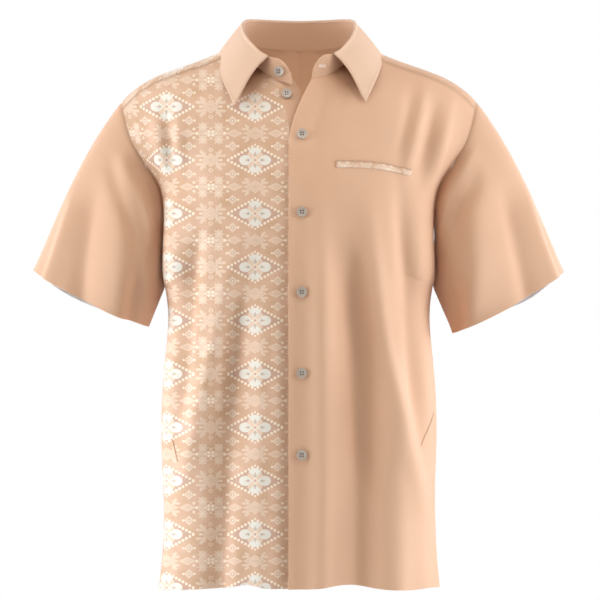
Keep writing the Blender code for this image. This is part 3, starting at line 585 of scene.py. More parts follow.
def yoke_surface(side, s, t):
    """Points of half the yoke; behind the neck the halves run into each other without a bend."""
    inner, outer = yoke_ends(side, t)
    rounded, crown, drop = row_shape(YOKE_ROWS, t)
    points = across(inner, outer, s, rounded, crown, drop)
    reach = points[..., 0] / outer[..., 0]
    soft = np.sqrt(reach ** 2 + SOFT_CENTRE ** 2) - SOFT_CENTRE
    behind = ease(t, SOFT_CENTRE_FROM, YOKE_CENTRE_ROW)
    points[..., 1] += 4 * crown * (reach - soft) * (1 - reach) * behind
    points[..., 0] *= side
    return points

# %% [markdown]
# ## Sleeves
#
# A sleeve is a tube from the armhole ring to the cuff ring. The cuff hangs lower behind than in front,
# so a little of its inside shows. Folds start at the armhole, where the raised seam pulls, and run out
# to the hem.

# %% Surface of a sleeve
LEFT_CUFF = ((215 * MM, -384 * MM), (371 * MM, -299 * MM))
RIGHT_CUFF = ((210 * MM, -376 * MM), (372 * MM, -297 * MM))
CUFF_HALF_DEPTH = 58 * MM
CUFF_Y = 2 * MM
CUFF_SAG = 6 * MM
CUFF_BACK_DROP = 3 * MM
CUFF_GAPE = 4.5 * MM
CUFF_GAPE_AT = 0.69
CUFF_GAPE_WIDTH = 0.05
DOWN_THE_ARM = np.array([0.47, 0.0, -0.88])
OFF_THE_ARM = np.array([0.88, 0.0, 0.47])
SLEEVE_CROWN = 9 * MM
SLEEVE_FRONT_BULGE = 24 * MM
SLEEVE_BACK_BULGE = 10 * MM
SWELL_SCALE = 0.186
FRONT_SKEW = 0.3
SLEEVE_ROUND = 500
SLEEVE_LONG = 210
SLEEVE_FOLD_GROWS = (-0.10, 0.25)
SLEEVE_FOLD_ENDS = (0.75, 1.15)
REACHES_HEM = 0.95
ARMHOLE_STAYS_FLAT = 0.07
LEFT_SLEEVE_FOLDS = (
    # round start, along start, round end, along end, bow, half width, height
    (0.40, 0.08, 0.12, 0.95, 0, 19, 9.5),
    (0.43, 0.36, 0.30, 0.99, 0, 12, -9.0),
    (0.47, 0.50, 0.39, 1.00, 0, 8, 6.0),
    (0.45, 0.05, 0.18, 0.11, 0, 8, 5.0),
    (0.40, 0.17, 0.23, 0.27, 0, 8, -4.5),
    (0.13, 0.28, 0.10, 1.00, 0, 13, -6.0),
    (0.70, 0.10, 0.76, 1.00, 0, 15, -5.0),
    (0.62, 0.20, 0.58, 0.90, 0, 12, 4.0),
)
RIGHT_SLEEVE_FOLDS = (
    # round start, along start, round end, along end, bow, half width, height
    (0.41, 0.10, 0.17, 0.97, -12, 18, 9.5),
    (0.43, 0.35, 0.27, 0.98, 0, 12, -9.0),
    (0.46, 0.50, 0.37, 1.00, 0, 8, 6.0),
    (0.43, 0.10, 0.20, 0.20, 0, 8, 6.0),
    (0.44, 0.16, 0.23, 0.40, 0, 7, -5.0),
    (0.17, 0.42, 0.115, 1.00, 0, 13, -9.0),
    (0.72, 0.10, 0.70, 1.00, 0, 15, -5.0),
    (0.60, 0.15, 0.63, 0.80, 0, 12, 4.0),
)


def folds_along_lines(folds, a, v):
    """The height of creases that run along slightly bowed lines on the cloth of a sleeve."""
    total = np.zeros_like(v)
    for a_start, v_start, a_end, v_end, bow, half_width, rise in folds:
        run = np.array([(a_end - a_start) * SLEEVE_ROUND, (v_end - v_start) * SLEEVE_LONG])
        length = np.linalg.norm(run)
        from_start = np.stack([(a - a_start) * SLEEVE_ROUND, (v - v_start) * SLEEVE_LONG], axis=-1)
        reach = from_start @ run / length ** 2
        aside = (from_start[..., 0] * run[1] - from_start[..., 1] * run[0]) / length
        aside = aside - bow * 4 * reach * (1 - reach)
        fade = ease(reach, *SLEEVE_FOLD_GROWS)
        if v_end < REACHES_HEM:
            fade = fade * (1 - ease(reach, *SLEEVE_FOLD_ENDS))
        total += rise * MM * fade * bell(aside, half_width)
    return total * ease(v, 0.0, ARMHOLE_STAYS_FLAT)


def sleeve_surface(side, a, v):
    """Points of a sleeve; a runs round it from the armpit to the front, v from armhole to cuff."""
    start = armhole(a)
    (inner_x, inner_z), (outer_x, outer_z) = LEFT_CUFF if side > 0 else RIGHT_CUFF
    inner = np.array([inner_x, CUFF_Y, inner_z])
    outer = np.array([outer_x, CUFF_Y, outer_z])
    turn = 2 * math.pi * a
    centre = (inner + outer) / 2
    cuff = centre - (outer - inner) / 2 * np.cos(turn)[..., None]
    skewed = np.sin(turn + FRONT_SKEW * np.clip(np.sin(turn), 0, None))
    cuff[..., 1] -= CUFF_HALF_DEPTH * skewed
    sag = CUFF_SAG * np.sin(turn) ** 2 + CUFF_BACK_DROP * np.clip(-np.sin(turn), 0, None)
    sag = sag + CUFF_GAPE * bell(a - CUFF_GAPE_AT, CUFF_GAPE_WIDTH)
    cuff = cuff + DOWN_THE_ARM * sag[..., None]
    points = start + (cuff - start) * v[..., None]
    swell = v * (1 - v) ** 1.5 / SWELL_SCALE
    front = np.clip(skewed, 0, None) ** 1.5
    behind = np.clip(-np.sin(turn), 0, None) ** 1.5
    crown = np.clip(-np.cos(turn), 0, None) ** 2
    points[..., 1] -= swell * (SLEEVE_FRONT_BULGE * front - SLEEVE_BACK_BULGE * behind)
    points += OFF_THE_ARM * (swell * SLEEVE_CROWN * crown)[..., None]
    middle = start.mean(axis=(0, 1))
    out = unit(points - (middle + (centre - middle) * v[..., None]))
    folds = LEFT_SLEEVE_FOLDS if side > 0 else RIGHT_SLEEVE_FOLDS
    height = folds_along_lines(folds, a, v)
    points = points + out * height[..., None]
    points[..., 0] *= side
    return points

# %% [markdown]
# ## Collar
#
# A shirt collar is two pieces: the stand, a band that stands up round the neck, and the leaf, which
# rolls over the top of the stand and falls to its points. The roll is drawn as part of the leaf, because
# its bright edge round the dark opening is what the eye finds first.

# %% Lines of the collar
STAND_TOP = (
    # share from centre front to centre back, x, y, z
    (0.00, 20.0, -83, -10),
    (0.08, 33.0, -82, -3),
    (0.18, 47.0, -76, -1),
    (0.35, 64.0, -54, 13),
    (0.50, 75.0, -27, 30),
    (0.62, 78.5, 0, 45),
    (0.75, 73.0, 30, 54.5),
    (0.87, 51.0, 56, 57),
    (1.00, 0.0, 71, 56.5),
    (1.13, -51.0, 56, 57),
)
LEAF_EDGE = (
    # share from the point to centre back, x, y, z
    (0.00, 91.0, -98, -70),
    (0.20, 104.0, -78, -41),
    (0.38, 112.5, -52, -20),
    (0.50, 116.0, -27, -5),
    (0.62, 113.5, 3, 6.0),
    (0.76, 91.0, 54, 8),
    (0.88, 54.0, 84, 5),
    (1.00, 0.0, 94, 3),
    (1.12, -54.0, 84, 5),
)
LEAF_ROLL = (
    # outwards, upwards
    (-0.55, -2.4),
    (-0.90, -0.9),
    (-1.00, 0.3),
    (-0.50, 1.3),
    (0.5, 1.7),
    (1.5, 1.3),
    (2.1, 0.4),
    (2.3, -0.5),
)
LEAF_CROWN = 1.5 * MM
LEAF_BOW = 5 * MM
LEAF_BOW_END = 0.35
LEAF_BOW_PEAK = 4 / 27
LEAF_SHIFT_FADE = (0.3, 0.8)
LEAF_START = 0.18
RIGHT_LEAF_SHIFT = (-2.5, 0.0, -4.5)
STAND_LIFT = -1.6 * MM
STAND_FLARE = 0.15 * MM
STAND_END_SHARE = 0.11
STAND_END_ROUND = 0.55
LEVEL = np.array([1.0, 1.0, 0.0])
OTHER_SIDE = np.array([-1.0, 1.0, 1.0])


def collar_line(rows, left_shares, right_shares):
    """A line round the neck from the wearer's left front end to the right front end."""
    left = neck_ring(rows, left_shares, 1)
    right = neck_ring(rows, right_shares, -1) * OTHER_SIDE
    return np.concatenate([left, right[-2::-1]])


def stand_points(shares, w):
    """The collar stand between the neckline and its fold line, with its front ends rounded off."""
    bottom = collar_line(NECKLINE, shares, shares)
    top = collar_line(STAND_TOP, shares, shares)
    bottom = bottom + unit(top - bottom) * STAND_LIFT
    reach = np.clip(1 - np.concatenate([shares, shares[-2::-1]]) / STAND_END_SHARE, 0, 1)
    height = 1 - STAND_END_ROUND * (1 - np.sqrt(1 - reach ** 2))
    flare = unit(bottom * LEVEL)[:, None] * (STAND_FLARE * (1 - w) ** 8)[None, :, None]
    return bottom[:, None] + (top - bottom)[:, None] * height[:, None, None] * w[None, :, None] + flare


def leaf_points(shares, steps):
    """The collar leaf: a short roll over the top of the stand, then out and down to the edge."""
    on_fold = LEAF_START + (1 - LEAF_START) * shares
    fold = collar_line(STAND_TOP, on_fold, on_fold)
    left = smooth(LEAF_EDGE, shares) * MM
    shift = (1 - ease(shares, *LEAF_SHIFT_FADE))[:, None] * np.array(RIGHT_LEAF_SHIFT) * MM
    edge = np.concatenate([left, (left + shift)[-2::-1] * OTHER_SIDE])
    out = unit(fold * LEVEL)
    up = np.array([0.0, 0.0, 1.0])
    lines = [fold + out * aside * MM + up * above * MM for aside, above in LEAF_ROLL]
    bow = LEAF_BOW * np.clip(1 - np.concatenate([shares, shares[-2::-1]]) / LEAF_BOW_END, 0, 1)
    sideways = np.sign(fold[:, :1]) * np.array([1.0, 0.0, 0.0])
    start = lines[-1]
    for step in steps[1:]:
        line = start + (edge - start) * step
        line = line + out * (LEAF_CROWN * 4 * step * (1 - step))
        line = line + sideways * bow[:, None] * (step * (1 - step) ** 2 / LEAF_BOW_PEAK)
        lines.append(line)
    return np.stack(lines, axis=1)

# %% [markdown]
# ## Plain cloth
#
# The plain pieces are a matt peach cotton. A single colour would look like plastic, so three things are
# laid over it: a plain weave of crossing threads as a bump, threads that are a little thicker or deeper in
# tone than their neighbours, and a slow clouding of the dye. The weave follows the cut of each piece by
# its own UV map, measured in metres, so that it turns where the cloth turns. A painted image could do the
# same, but it would blur when seen closely.
#
# Seams get a slightly deeper tone, a painted shade for the rolled cloth beside a row of stitches. The
# same painted shade darkens a few hollows and edges.
#
# The faces carry a number called lining. From 0 to 1 it says how much of the deeper tone of the wrong
# side shows, 2 stands for the grey tape that faces the turned hems of the sleeves, and a number below 0
# paints a paler tone, a painted light, as on the collar leaf. In the printed cloth, it says how much
# plain peach covers the print.

# %% Colours
def paint_of(red, green, blue):
    """A colour as a paint chart gives it, 0 to 255, turned into the light that it reflects."""
    return tuple(((c / 255 + 0.055) / 1.055) ** 2.4 for c in (red, green, blue)) + (1.0,)


PEACH = paint_of(225, 180, 149)
PEACH_DEEP = paint_of(219, 172, 140)
# Painted shade, beside the seams, in hollows and under edges.
PAINTED_SHADE_TONE = paint_of(170, 122, 90)
INSIDE_TONE = paint_of(150, 112, 92)
HEM_TAPE = paint_of(226, 224, 228)
# Painted light: a paler peach for the outer face of the collar leaf.
PAINTED_LIGHT_TONE = paint_of(230, 193, 168)

# %% Nodes in one line each
def plug(sockets, values):
    """Give sockets their values, or link them to what comes out of other nodes."""
    for socket, value in zip(sockets, values):
        if isinstance(value, bpy.types.NodeSocket):
            socket.id_data.links.new(value, socket)
        else:
            socket.default_value = value


def node_beside(values, kind, **settings):
    """A new node in the tree that the first socket among the values comes from."""
    tree = next(value.id_data for value in values if isinstance(value, bpy.types.NodeSocket))
    node = tree.nodes.new(kind)
    for setting, value in settings.items():
        setattr(node, setting, value)
    return node


def maths(operation, *values):
    node = node_beside(values, "ShaderNodeMath", operation=operation)
    plug(node.inputs, values)
    return node.outputs["Value"]


def dye(share, under, over):
    """The colour over laid on the colour under as strongly as share says."""
    values = (share, under, over)
    node = node_beside(values, "ShaderNodeMix", data_type="RGBA")
    colour_inputs = [socket for socket in node.inputs if socket.type == "RGBA"]
    plug([node.inputs["Factor"]] + colour_inputs, values)
    return next(socket for socket in node.outputs if socket.type == "RGBA")


def clouds(place, size, stretch=(1.0, 1.0, 1.0), detail=2.0):
    """Soft noise from 0 to 1 whose clouds are about size metres wide."""
    spread_out = node_beside([place], "ShaderNodeMapping")
    spread_out.inputs["Scale"].default_value = tuple(s / size for s in stretch)
    plug([spread_out.inputs["Vector"]], [place])
    noise = node_beside([place], "ShaderNodeTexNoise")
    names = ("Scale", "Detail", "Vector")
    plug([noise.inputs[name] for name in names], (1.0, detail, spread_out.outputs["Vector"]))
    return noise.outputs["Fac"]


def written(beside, name):
    """The number that the cloth carries under a name."""
    return node_beside([beside], "ShaderNodeAttribute", attribute_name=name).outputs["Fac"]


def raise_grain(shader, height, strength, depth):
    """Let a height show as a fine relief of the given depth."""
    bump = node_beside([height], "ShaderNodeBump")
    plug([bump.inputs[name] for name in ("Strength", "Distance", "Height")], (strength, depth, height))
    plug([shader.inputs["Normal"]], [bump.outputs["Normal"]])

# %% Weave
THREAD_PITCH = 0.55
WEAVE_DEPTH = 0.12 * MM
WEAVE_STRENGTH = 0.5
SLUB = 0.5
SLUB_WIDTH = 3 * MM
SLUB_STRETCH = 0.05
PAINTED_SHADE_SHARE = 0.45


def start_cloth(name):
    """A cloth material with its weave, and the sockets that its colour is made from."""
    material, shader = new_finish(
        name, Roughness=0.66, Specular_IOR_Level=0.6, Sheen_Weight=0.22, Sheen_Roughness=0.45
    )
    place = node_beside([shader.inputs["Normal"]], "ShaderNodeUVMap", uv_map="cut").outputs["UV"]
    axes = node_beside([place], "ShaderNodeSeparateXYZ")
    plug(axes.inputs, [place])
    u, v = (maths("MULTIPLY", axes.outputs[axis], 1 / MM) for axis in ("X", "Y"))
    weft, warp = (maths("SINE", maths("MULTIPLY", way, 2 * math.pi / THREAD_PITCH)) for way in (u, v))
    along = clouds(place, SLUB_WIDTH, (1.0, SLUB_STRETCH, 1.0))
    over = clouds(place, SLUB_WIDTH, (SLUB_STRETCH, 1.0, 1.0))
    slub = maths("ADD", along, over)
    weave = maths("MULTIPLY_ADD", slub, SLUB, maths("MULTIPLY", weft, warp))
    raise_grain(shader, weave, WEAVE_STRENGTH, WEAVE_DEPTH)
    return material, place, u, v, maths("MULTIPLY", slub, 0.5)


def end_cloth(material, colour):
    """Deepen the colour by painted shade where the seam attribute asks, and give it to the shader."""
    depth = maths("MULTIPLY", written(colour, "seam"), PAINTED_SHADE_SHARE)
    shader = material.node_tree.nodes["Principled BSDF"]
    plug([shader.inputs["Base Color"]], [dye(depth, colour, PAINTED_SHADE_TONE)])

# %% The plain cloth
DYE_CLOUDS = 90 * MM
SLUB_TONE = 0.35
WRONG_SIDE_SHARE = 0.30

plain, place, _, _, slub = start_cloth("plain cotton")
lining = written(place, "lining")
colour = dye(clouds(place, DYE_CLOUDS), PEACH, PEACH_DEEP)
# Lining above 1 paints the grey tape, and below 0 a paler tone that is painted light.
for share, tone in (
    (maths("MULTIPLY", slub, SLUB_TONE), PEACH_DEEP),
    (maths("MULTIPLY", lining, WRONG_SIDE_SHARE), INSIDE_TONE),
    (maths("SUBTRACT", lining, 1.0), HEM_TAPE),
    (maths("MULTIPLY", lining, -1.0), PAINTED_LIGHT_TONE),
):
    colour = dye(share, colour, tone)
end_cloth(plain, colour)
print("plain cotton:", len(plain.node_tree.nodes), "nodes")

# %% [markdown]
# ## Printed cloth
#
# The batik is a small all-over repeat in the way of traditional woven patterns: large beaded diamonds
# with a four-petalled flower, small diamonds between them, and snowflake stars in the columns between.
# The repeat is mirrored left to right and top to bottom, so a quarter of it is enough: the two ping-pong
# nodes fold the cloth into that quarter. In it, every motif is a short sum, such as how far a place is
# from the middle of an oval, and it is inked where the sum stays below one.
#
# The print lies flat across the front: the columns keep their spacing from the buttons to the side,
# whatever the folds do.

# %% Shapes of ink
REPEAT_WIDTH = 120.3
REPEAT_HEIGHT = 72.6
THREAD_STEP = 1.3
CORNER_CUT = 0.66
FAN_LEAVES = (3.6, -0.6)
FAN_LOBE = 0.6
STEM_SLIMNESS = 6.0
WING_SLIMNESS = 5.0
WING_LENGTH = 1.9
CUT_BEHIND = -12.0


def from_middle(x, y, middle, half):
    """How far a place lies across and up from a middle, as shares of a half size."""
    return [
        maths("MULTIPLY_ADD", axis, 1 / size, -centre / size)
        for axis, centre, size in zip((x, y), middle, half)
    ]


def squared(a, b):
    """The square of the distance that a and b make together."""
    return maths("MULTIPLY_ADD", b, b, maths("MULTIPLY", a, a))


def oval(x, y, middle, half):
    """Below 1 within an oval."""
    return squared(*from_middle(x, y, middle, half))


def diamond(x, y, middle, half):
    """Below 1 within a diamond."""
    return maths("ADD", *[maths("ABSOLUTE", part) for part in from_middle(x, y, middle, half)])


def block(x, y, middle, half):
    """Below 1 within a block with cut corners, stepped as if it were counted in threads."""
    sides = []
    for axis, centre, size in zip((x, y), middle, half):
        from_centre = maths("ABSOLUTE", maths("SUBTRACT", axis, centre))
        steps = maths("FLOOR", maths("DIVIDE", from_centre, THREAD_STEP))
        sides.append(maths("MULTIPLY", steps, THREAD_STEP / size))
    corner = maths("MULTIPLY", maths("ADD", *sides), CORNER_CUT)
    return maths("MAXIMUM", maths("MAXIMUM", *sides), corner)


def fan(x, y, root, reach):
    """Below 1 within a fan of leaves that spreads from its root as far as reach, which has signs."""
    across_it, up_it = from_middle(x, y, root, reach)
    angle = maths("ARCTAN2", up_it, across_it)
    leaves = maths("ABSOLUTE", maths("COSINE", maths("MULTIPLY_ADD", angle, *FAN_LEAVES)))
    spread_of_it = maths("MULTIPLY_ADD", leaves, FAN_LOBE, 1 - FAN_LOBE)
    value = maths("DIVIDE", maths("SQRT", squared(across_it, up_it)), spread_of_it)
    for side in (across_it, up_it):
        value = maths("MAXIMUM", value, maths("MULTIPLY", side, CUT_BEHIND))
    return value


def prongs(along, beside, root, length):
    """Below 1 within a mark of three prongs that open from its root."""
    ahead = maths("MULTIPLY_ADD", along, 1 / length, -root / length)
    aside = maths("MULTIPLY", beside, 1 / length)
    from_half_way = maths("ABSOLUTE", maths("MULTIPLY_ADD", ahead, 2.0, -1.0))
    stem = maths("MULTIPLY_ADD", aside, STEM_SLIMNESS, from_half_way)
    slant = maths("ABSOLUTE", maths("SUBTRACT", ahead, aside))
    wing = maths("MULTIPLY_ADD", slant, WING_SLIMNESS, maths("MULTIPLY", aside, WING_LENGTH))
    return maths("MINIMUM", stem, maths("MAXIMUM", wing, maths("MULTIPLY", ahead, CUT_BEHIND)))


def filled(shape):
    return maths("LESS_THAN", shape, 1.0)


def outlined(shape, level, width):
    return maths("COMPARE", shape, level, width)

# %% Motifs
HALF_W, HALF_H = REPEAT_WIDTH / 2, REPEAT_HEIGHT / 2
LARGE_DIAMOND = (0.0, 0.0)
SMALL_DIAMOND = (30.7, 18.9)
FAINT_MOTIFS = (
    # shape, middle or root, half size or reach, strength, outline level and width or None
    (diamond, SMALL_DIAMOND, (7.0, 6.8), 0.85, None),
    (diamond, (28.3, HALF_H), (10.6, 5.3), 0.55, None),
    (diamond, (28.3, HALF_H), (10.6, 5.3), 0.90, (0.92, 0.12)),
    (diamond, (0.0, HALF_H), (15.5, 8.2), 0.45, None),
    (diamond, (0.0, HALF_H), (15.5, 8.2), 0.85, (0.93, 0.09)),
    (diamond, (0.0, HALF_H), (15.5, 8.2), 0.80, (0.50, 0.09)),
    (fan, (8.6, HALF_H - 4.8), (9.5, -8.5), 0.75, None),
    (diamond, (HALF_W, 0.0), (13.4, 9.4), 0.50, None),
    (diamond, (HALF_W, 0.0), (13.4, 9.4), 0.80, (0.92, 0.09)),
    (diamond, (HALF_W, 0.0), (13.4, 9.4), 0.75, (0.50, 0.10)),
    (fan, (HALF_W - 7.6, 4.6), (-13.5, 10.5), 0.75, None),
    (oval, (HALF_W, 13.6), (3.0, 2.7), 0.95, (0.65, 0.35)),
)
STAR_MIDDLE = (HALF_W - 10.8, HALF_H - 8.4)
STAR_CORE = (5.2, 4.4)
STAR_REACH = (8.6, 7.4)
STAR_BAND = ((HALF_W - 9.0, HALF_H), (8.6, 2.4))
STAR_ARM = 1.7
STAR_CORE_INK = 0.50
STAR_ARM_INK = 0.80
BRIGHT_MOTIFS = (
    # shape, middle, half size, strength, outline level and width or None
    (oval, (HALF_W - 19.2, HALF_H), (2.1, 2.0), 0.95, None),
    (oval, (HALF_W - 22.9, HALF_H - 5.9), (2.1, 2.0), 0.70, None),
    (oval, (HALF_W - 14.0, 0.0), (1.9, 1.8), 0.70, None),
    (oval, (HALF_W - 2.7, HALF_H - 2.5), (2.1, 2.0), 1.0, None),
    (oval, (HALF_W - 7.2, HALF_H), (1.5, 1.4), 0.8, None),
    (oval, (HALF_W, HALF_H - 6.6), (1.4, 1.5), 0.8, None),
    (oval, (23.0, 18.9), (1.6, 1.6), 0.90, None),
    (oval, (38.4, 18.9), (1.6, 1.6), 0.90, None),
)
BEADED_DIAMOND = (37.0, 20.2)
BEAD_STEP = 5.27
BEAD_RADIUS = 1.95
PETALS = (
    # middle, half size
    ((12.9, 0.0), (8.7, 6.9)),
    ((0.0, 10.4), (8.6, 6.8)),
)
PETAL_MARKS = (7.6, 5.6)
PRONG = 6.6
DIVIDER_SLOPE = 1.06
DIVIDER_LAYERS = ((3.6, 0), (2.7, 1), (1.0, 2))
FLOWER = (21.0, 17.5)
HEART = (4.6, 4.4)
HEART_CORE = (2.6, 2.5)
MAUVE_SHARE = 0.7
PATCH_WIDTH = 30 * MM
PATCH_CONTRAST = (3.0, -1.0)
DOTS_SHARE = 0.45
DOT_PITCH = (REPEAT_WIDTH / 46, REPEAT_HEIGHT / 28)
DOT_RADIUS = 0.40

# %% Inking the motifs
def ink(motifs, x, y):
    """How strongly a list of motifs inks each place."""
    total = None
    for shape, middle, half, strength, outline in motifs:
        value = shape(x, y, middle, half)
        mask = filled(value) if outline is None else outlined(value, *outline)
        mask = maths("MULTIPLY", mask, strength)
        total = mask if total is None else maths("MAXIMUM", total, mask)
    return total


def bead_string(x, y):
    """Beads along the side of the large diamond."""
    a, b = BEADED_DIAMOND
    side = math.hypot(a, b)
    off_line = maths("MULTIPLY_ADD", x, b / side, -a * b / side)
    off_line = maths("MULTIPLY_ADD", y, a / side, off_line)
    on_line = maths("MULTIPLY_ADD", x, -a / side / BEAD_STEP, 0.5)
    on_line = maths("MULTIPLY_ADD", y, b / side / BEAD_STEP, on_line)
    from_bead = maths("MULTIPLY_ADD", maths("FRACT", on_line), BEAD_STEP, -BEAD_STEP / 2)
    return maths("LESS_THAN", squared(off_line, from_bead), BEAD_RADIUS ** 2)


def dots(x, y):
    """Fine dots, as threads that rise to the face of the cloth make them."""
    near = [maths("PINGPONG", axis, pitch / 2) for axis, pitch in zip((x, y), DOT_PITCH)]
    return maths("LESS_THAN", squared(*near), (DOT_RADIUS * DOT_PITCH[0]) ** 2)


def snow(x, y, middle):
    """1 on the eight arms of a snowflake."""
    across_it = maths("SUBTRACT", x, middle[0])
    up_it = maths("SUBTRACT", y, middle[1])
    turn = maths("MULTIPLY", maths("ARCTAN2", up_it, across_it), 4.0)
    beside_arm = maths("ABSOLUTE", maths("SINE", turn))
    off_arm = maths("MULTIPLY", beside_arm, maths("SQRT", squared(across_it, up_it)))
    return maths("LESS_THAN", off_arm, STAR_ARM)

# %% The printed cloth
GROUND_TAN = paint_of(212, 169, 136)
GROUND_PINK = paint_of(226, 184, 157)
INK_PEACH = paint_of(243, 220, 200)
INK_CREAM = paint_of(248, 228, 208)
INK_WHITE = paint_of(238, 230, 220)
GROUND_MAUVE = paint_of(206, 166, 148)
MARK_TONE = paint_of(204, 180, 160)
HEART_TONE = paint_of(214, 178, 164)

printed, place, u, v, _ = start_cloth("printed batik cotton")
x = maths("PINGPONG", u, HALF_W)
y = maths("PINGPONG", v, HALF_H)
patches = maths("MULTIPLY_ADD", clouds(place, PATCH_WIDTH), *PATCH_CONTRAST)
patches = maths("MINIMUM", maths("MAXIMUM", patches, 0.0), 1.0)
colour = dye(patches, GROUND_TAN, GROUND_PINK)
dotted = maths("MULTIPLY_ADD", dots(x, y), DOTS_SHARE, 1 - DOTS_SHARE)
colour = dye(maths("MULTIPLY", ink(FAINT_MOTIFS, x, y), dotted), colour, INK_PEACH)
core = maths("MULTIPLY", filled(block(x, y, STAR_MIDDLE, STAR_CORE)), STAR_CORE_INK)
bridge = maths("MULTIPLY", filled(block(x, y, *STAR_BAND)), STAR_CORE_INK)
arms = maths("MULTIPLY", snow(x, y, STAR_MIDDLE), STAR_ARM_INK)
arms = maths("MULTIPLY", arms, filled(oval(x, y, STAR_MIDDLE, STAR_REACH)))
colour = dye(maths("MAXIMUM", maths("MAXIMUM", core, bridge), arms), colour, INK_PEACH)
colour = dye(ink(BRIGHT_MOTIFS, x, y), colour, INK_CREAM)
inside = maths("MULTIPLY", filled(diamond(x, y, LARGE_DIAMOND, BEADED_DIAMOND)), MAUVE_SHARE)
colour = dye(inside, colour, GROUND_MAUVE)
colour = dye(bead_string(x, y), colour, INK_CREAM)
for middle, half in PETALS:
    colour = dye(filled(oval(x, y, middle, half)), colour, INK_WHITE)
for axes, root in zip(((x, y), (y, x)), PETAL_MARKS):
    colour = dye(filled(prongs(*axes, root, PRONG)), colour, MARK_TONE)
from_divider = maths("ABSOLUTE", maths("MULTIPLY_ADD", x, -DIVIDER_SLOPE, y))
on_flower = filled(diamond(x, y, LARGE_DIAMOND, FLOWER))
for half_width, tone in DIVIDER_LAYERS:
    line = maths("MULTIPLY", maths("LESS_THAN", from_divider, half_width), on_flower)
    colour = dye(line, colour, (GROUND_TAN, INK_CREAM, GROUND_PINK)[tone])
for shape, middle, half, tone in (
    (diamond, LARGE_DIAMOND, HEART, INK_CREAM),
    (diamond, LARGE_DIAMOND, HEART_CORE, HEART_TONE),
    (oval, SMALL_DIAMOND, (2.4, 2.2), GROUND_TAN),
    (oval, SMALL_DIAMOND, (1.3, 1.2), INK_WHITE),
):
    colour = dye(filled(shape(x, y, middle, half)), colour, tone)
end_cloth(printed, dye(written(place, "lining"), colour, PEACH))
print("printed cotton:", len(printed.node_tree.nodes), "nodes")

# %% [markdown]
# ## From grids to cloth
#
# A grid of points becomes a piece of cloth in four steps. Free edges are turned under, as a hem is: the
# rows run round a small roll and back behind themselves. Seam edges are pressed in a little, because the
# stitches pull the cloth down. The faces are laid on the grid with the flat place of each corner as its
# UV, and a Solidify modifier gives the wall.
#
# A hem could be left out, as it is hard to see, but the soft round edge is where cloth shows that it is
# cloth.

# %% Turned hems and pressed seams
TURN_RADIUS = 0.55 * MM
TURN_ANGLES = (150, 120, 90, 60, 30)
SEAM_DIP = 0.8 * MM
SEAM_WIDTH = 2.6 * MM


def turn_under(points, out, axis, end, width):
    """Let the cloth turn round one edge of a grid and run back inside; out is the way out of it."""
    both = [np.swapaxes(part, 0, 1) if axis == 0 else part for part in (points, out)]
    work, normal = [part[:, ::-1] if end else part for part in both]
    steps = np.linalg.norm(np.diff(work, axis=1), axis=2).mean(axis=0)
    hidden = int(np.searchsorted(np.cumsum(steps), width))
    beyond = unit(work[:, 0] - work[:, 1])
    rolled = [
        work[:, 0]
        + beyond * (TURN_RADIUS * math.sin(math.radians(angle)))
        + normal[:, 0] * (TURN_RADIUS * (math.cos(math.radians(angle)) - 1))
        for angle in TURN_ANGLES
    ]
    under = (work - normal * 2 * TURN_RADIUS)[:, hidden:0:-1]
    work = np.concatenate([under, np.stack(rolled, axis=1), work], axis=1)
    edge = np.repeat(normal[:, :1], len(TURN_ANGLES), axis=1)
    normal = np.concatenate([normal[:, hidden:0:-1], edge, normal], axis=1)
    both = [part[:, ::-1] if end else part for part in (work, normal)]
    return [np.swapaxes(part, 0, 1) if axis == 0 else part for part in both]


def arcs(points, axis):
    """The distance of each point from the start of its row, along the cloth."""
    steps = np.linalg.norm(np.diff(points, axis=axis), axis=-1)
    shape = list(steps.shape)
    shape[axis] = 1
    return np.concatenate([np.zeros(shape), np.cumsum(steps, axis=axis)], axis=axis)


def near_seams(points, seams, width=SEAM_WIDTH):
    """1 on the seams of a grid, falling to 0 a few millimetres away; a seam is (axis, end)."""
    near = np.zeros(points.shape[:2])
    for axis, end in seams:
        run = arcs(points, axis)
        distance = np.take(run, [-1], axis=axis) - run if end else run
        near = np.maximum(near, bell(distance, width))
    return near

# %% Laying the faces
WALL = 0.45 * MM
WRONG_SIDE = 0.6
CRISP_ANGLE = math.radians(60)
FIRST_S, LAST_S, FIRST_T, LAST_T = (0, 0), (0, 1), (1, 0), (1, 1)


def lay_faces(counts, closed, flip):
    """The corners of the faces of a grid, as indices of its columns and rows."""
    across_grid = counts[0] if closed else counts[0] - 1
    i, j = np.meshgrid(np.arange(across_grid), np.arange(counts[1] - 1), indexing="ij")
    columns = np.stack([i, i + 1, i + 1, i], axis=-1).reshape(-1, 4)
    rows = np.stack([j, j, j + 1, j + 1], axis=-1).reshape(-1, 4)
    return (columns[:, ::-1], rows[:, ::-1]) if flip else (columns, rows)


def add_piece(name, mesh):
    """A new object of the scene, at the origin."""
    piece = bpy.data.objects.new(name, mesh)
    scene.collection.objects.link(piece)
    return piece


def pick(piece):
    """Make a piece the only selected one, and the active one."""
    bpy.ops.object.select_all(action="DESELECT")
    bpy.context.view_layer.objects.active = piece
    piece.select_set(True)


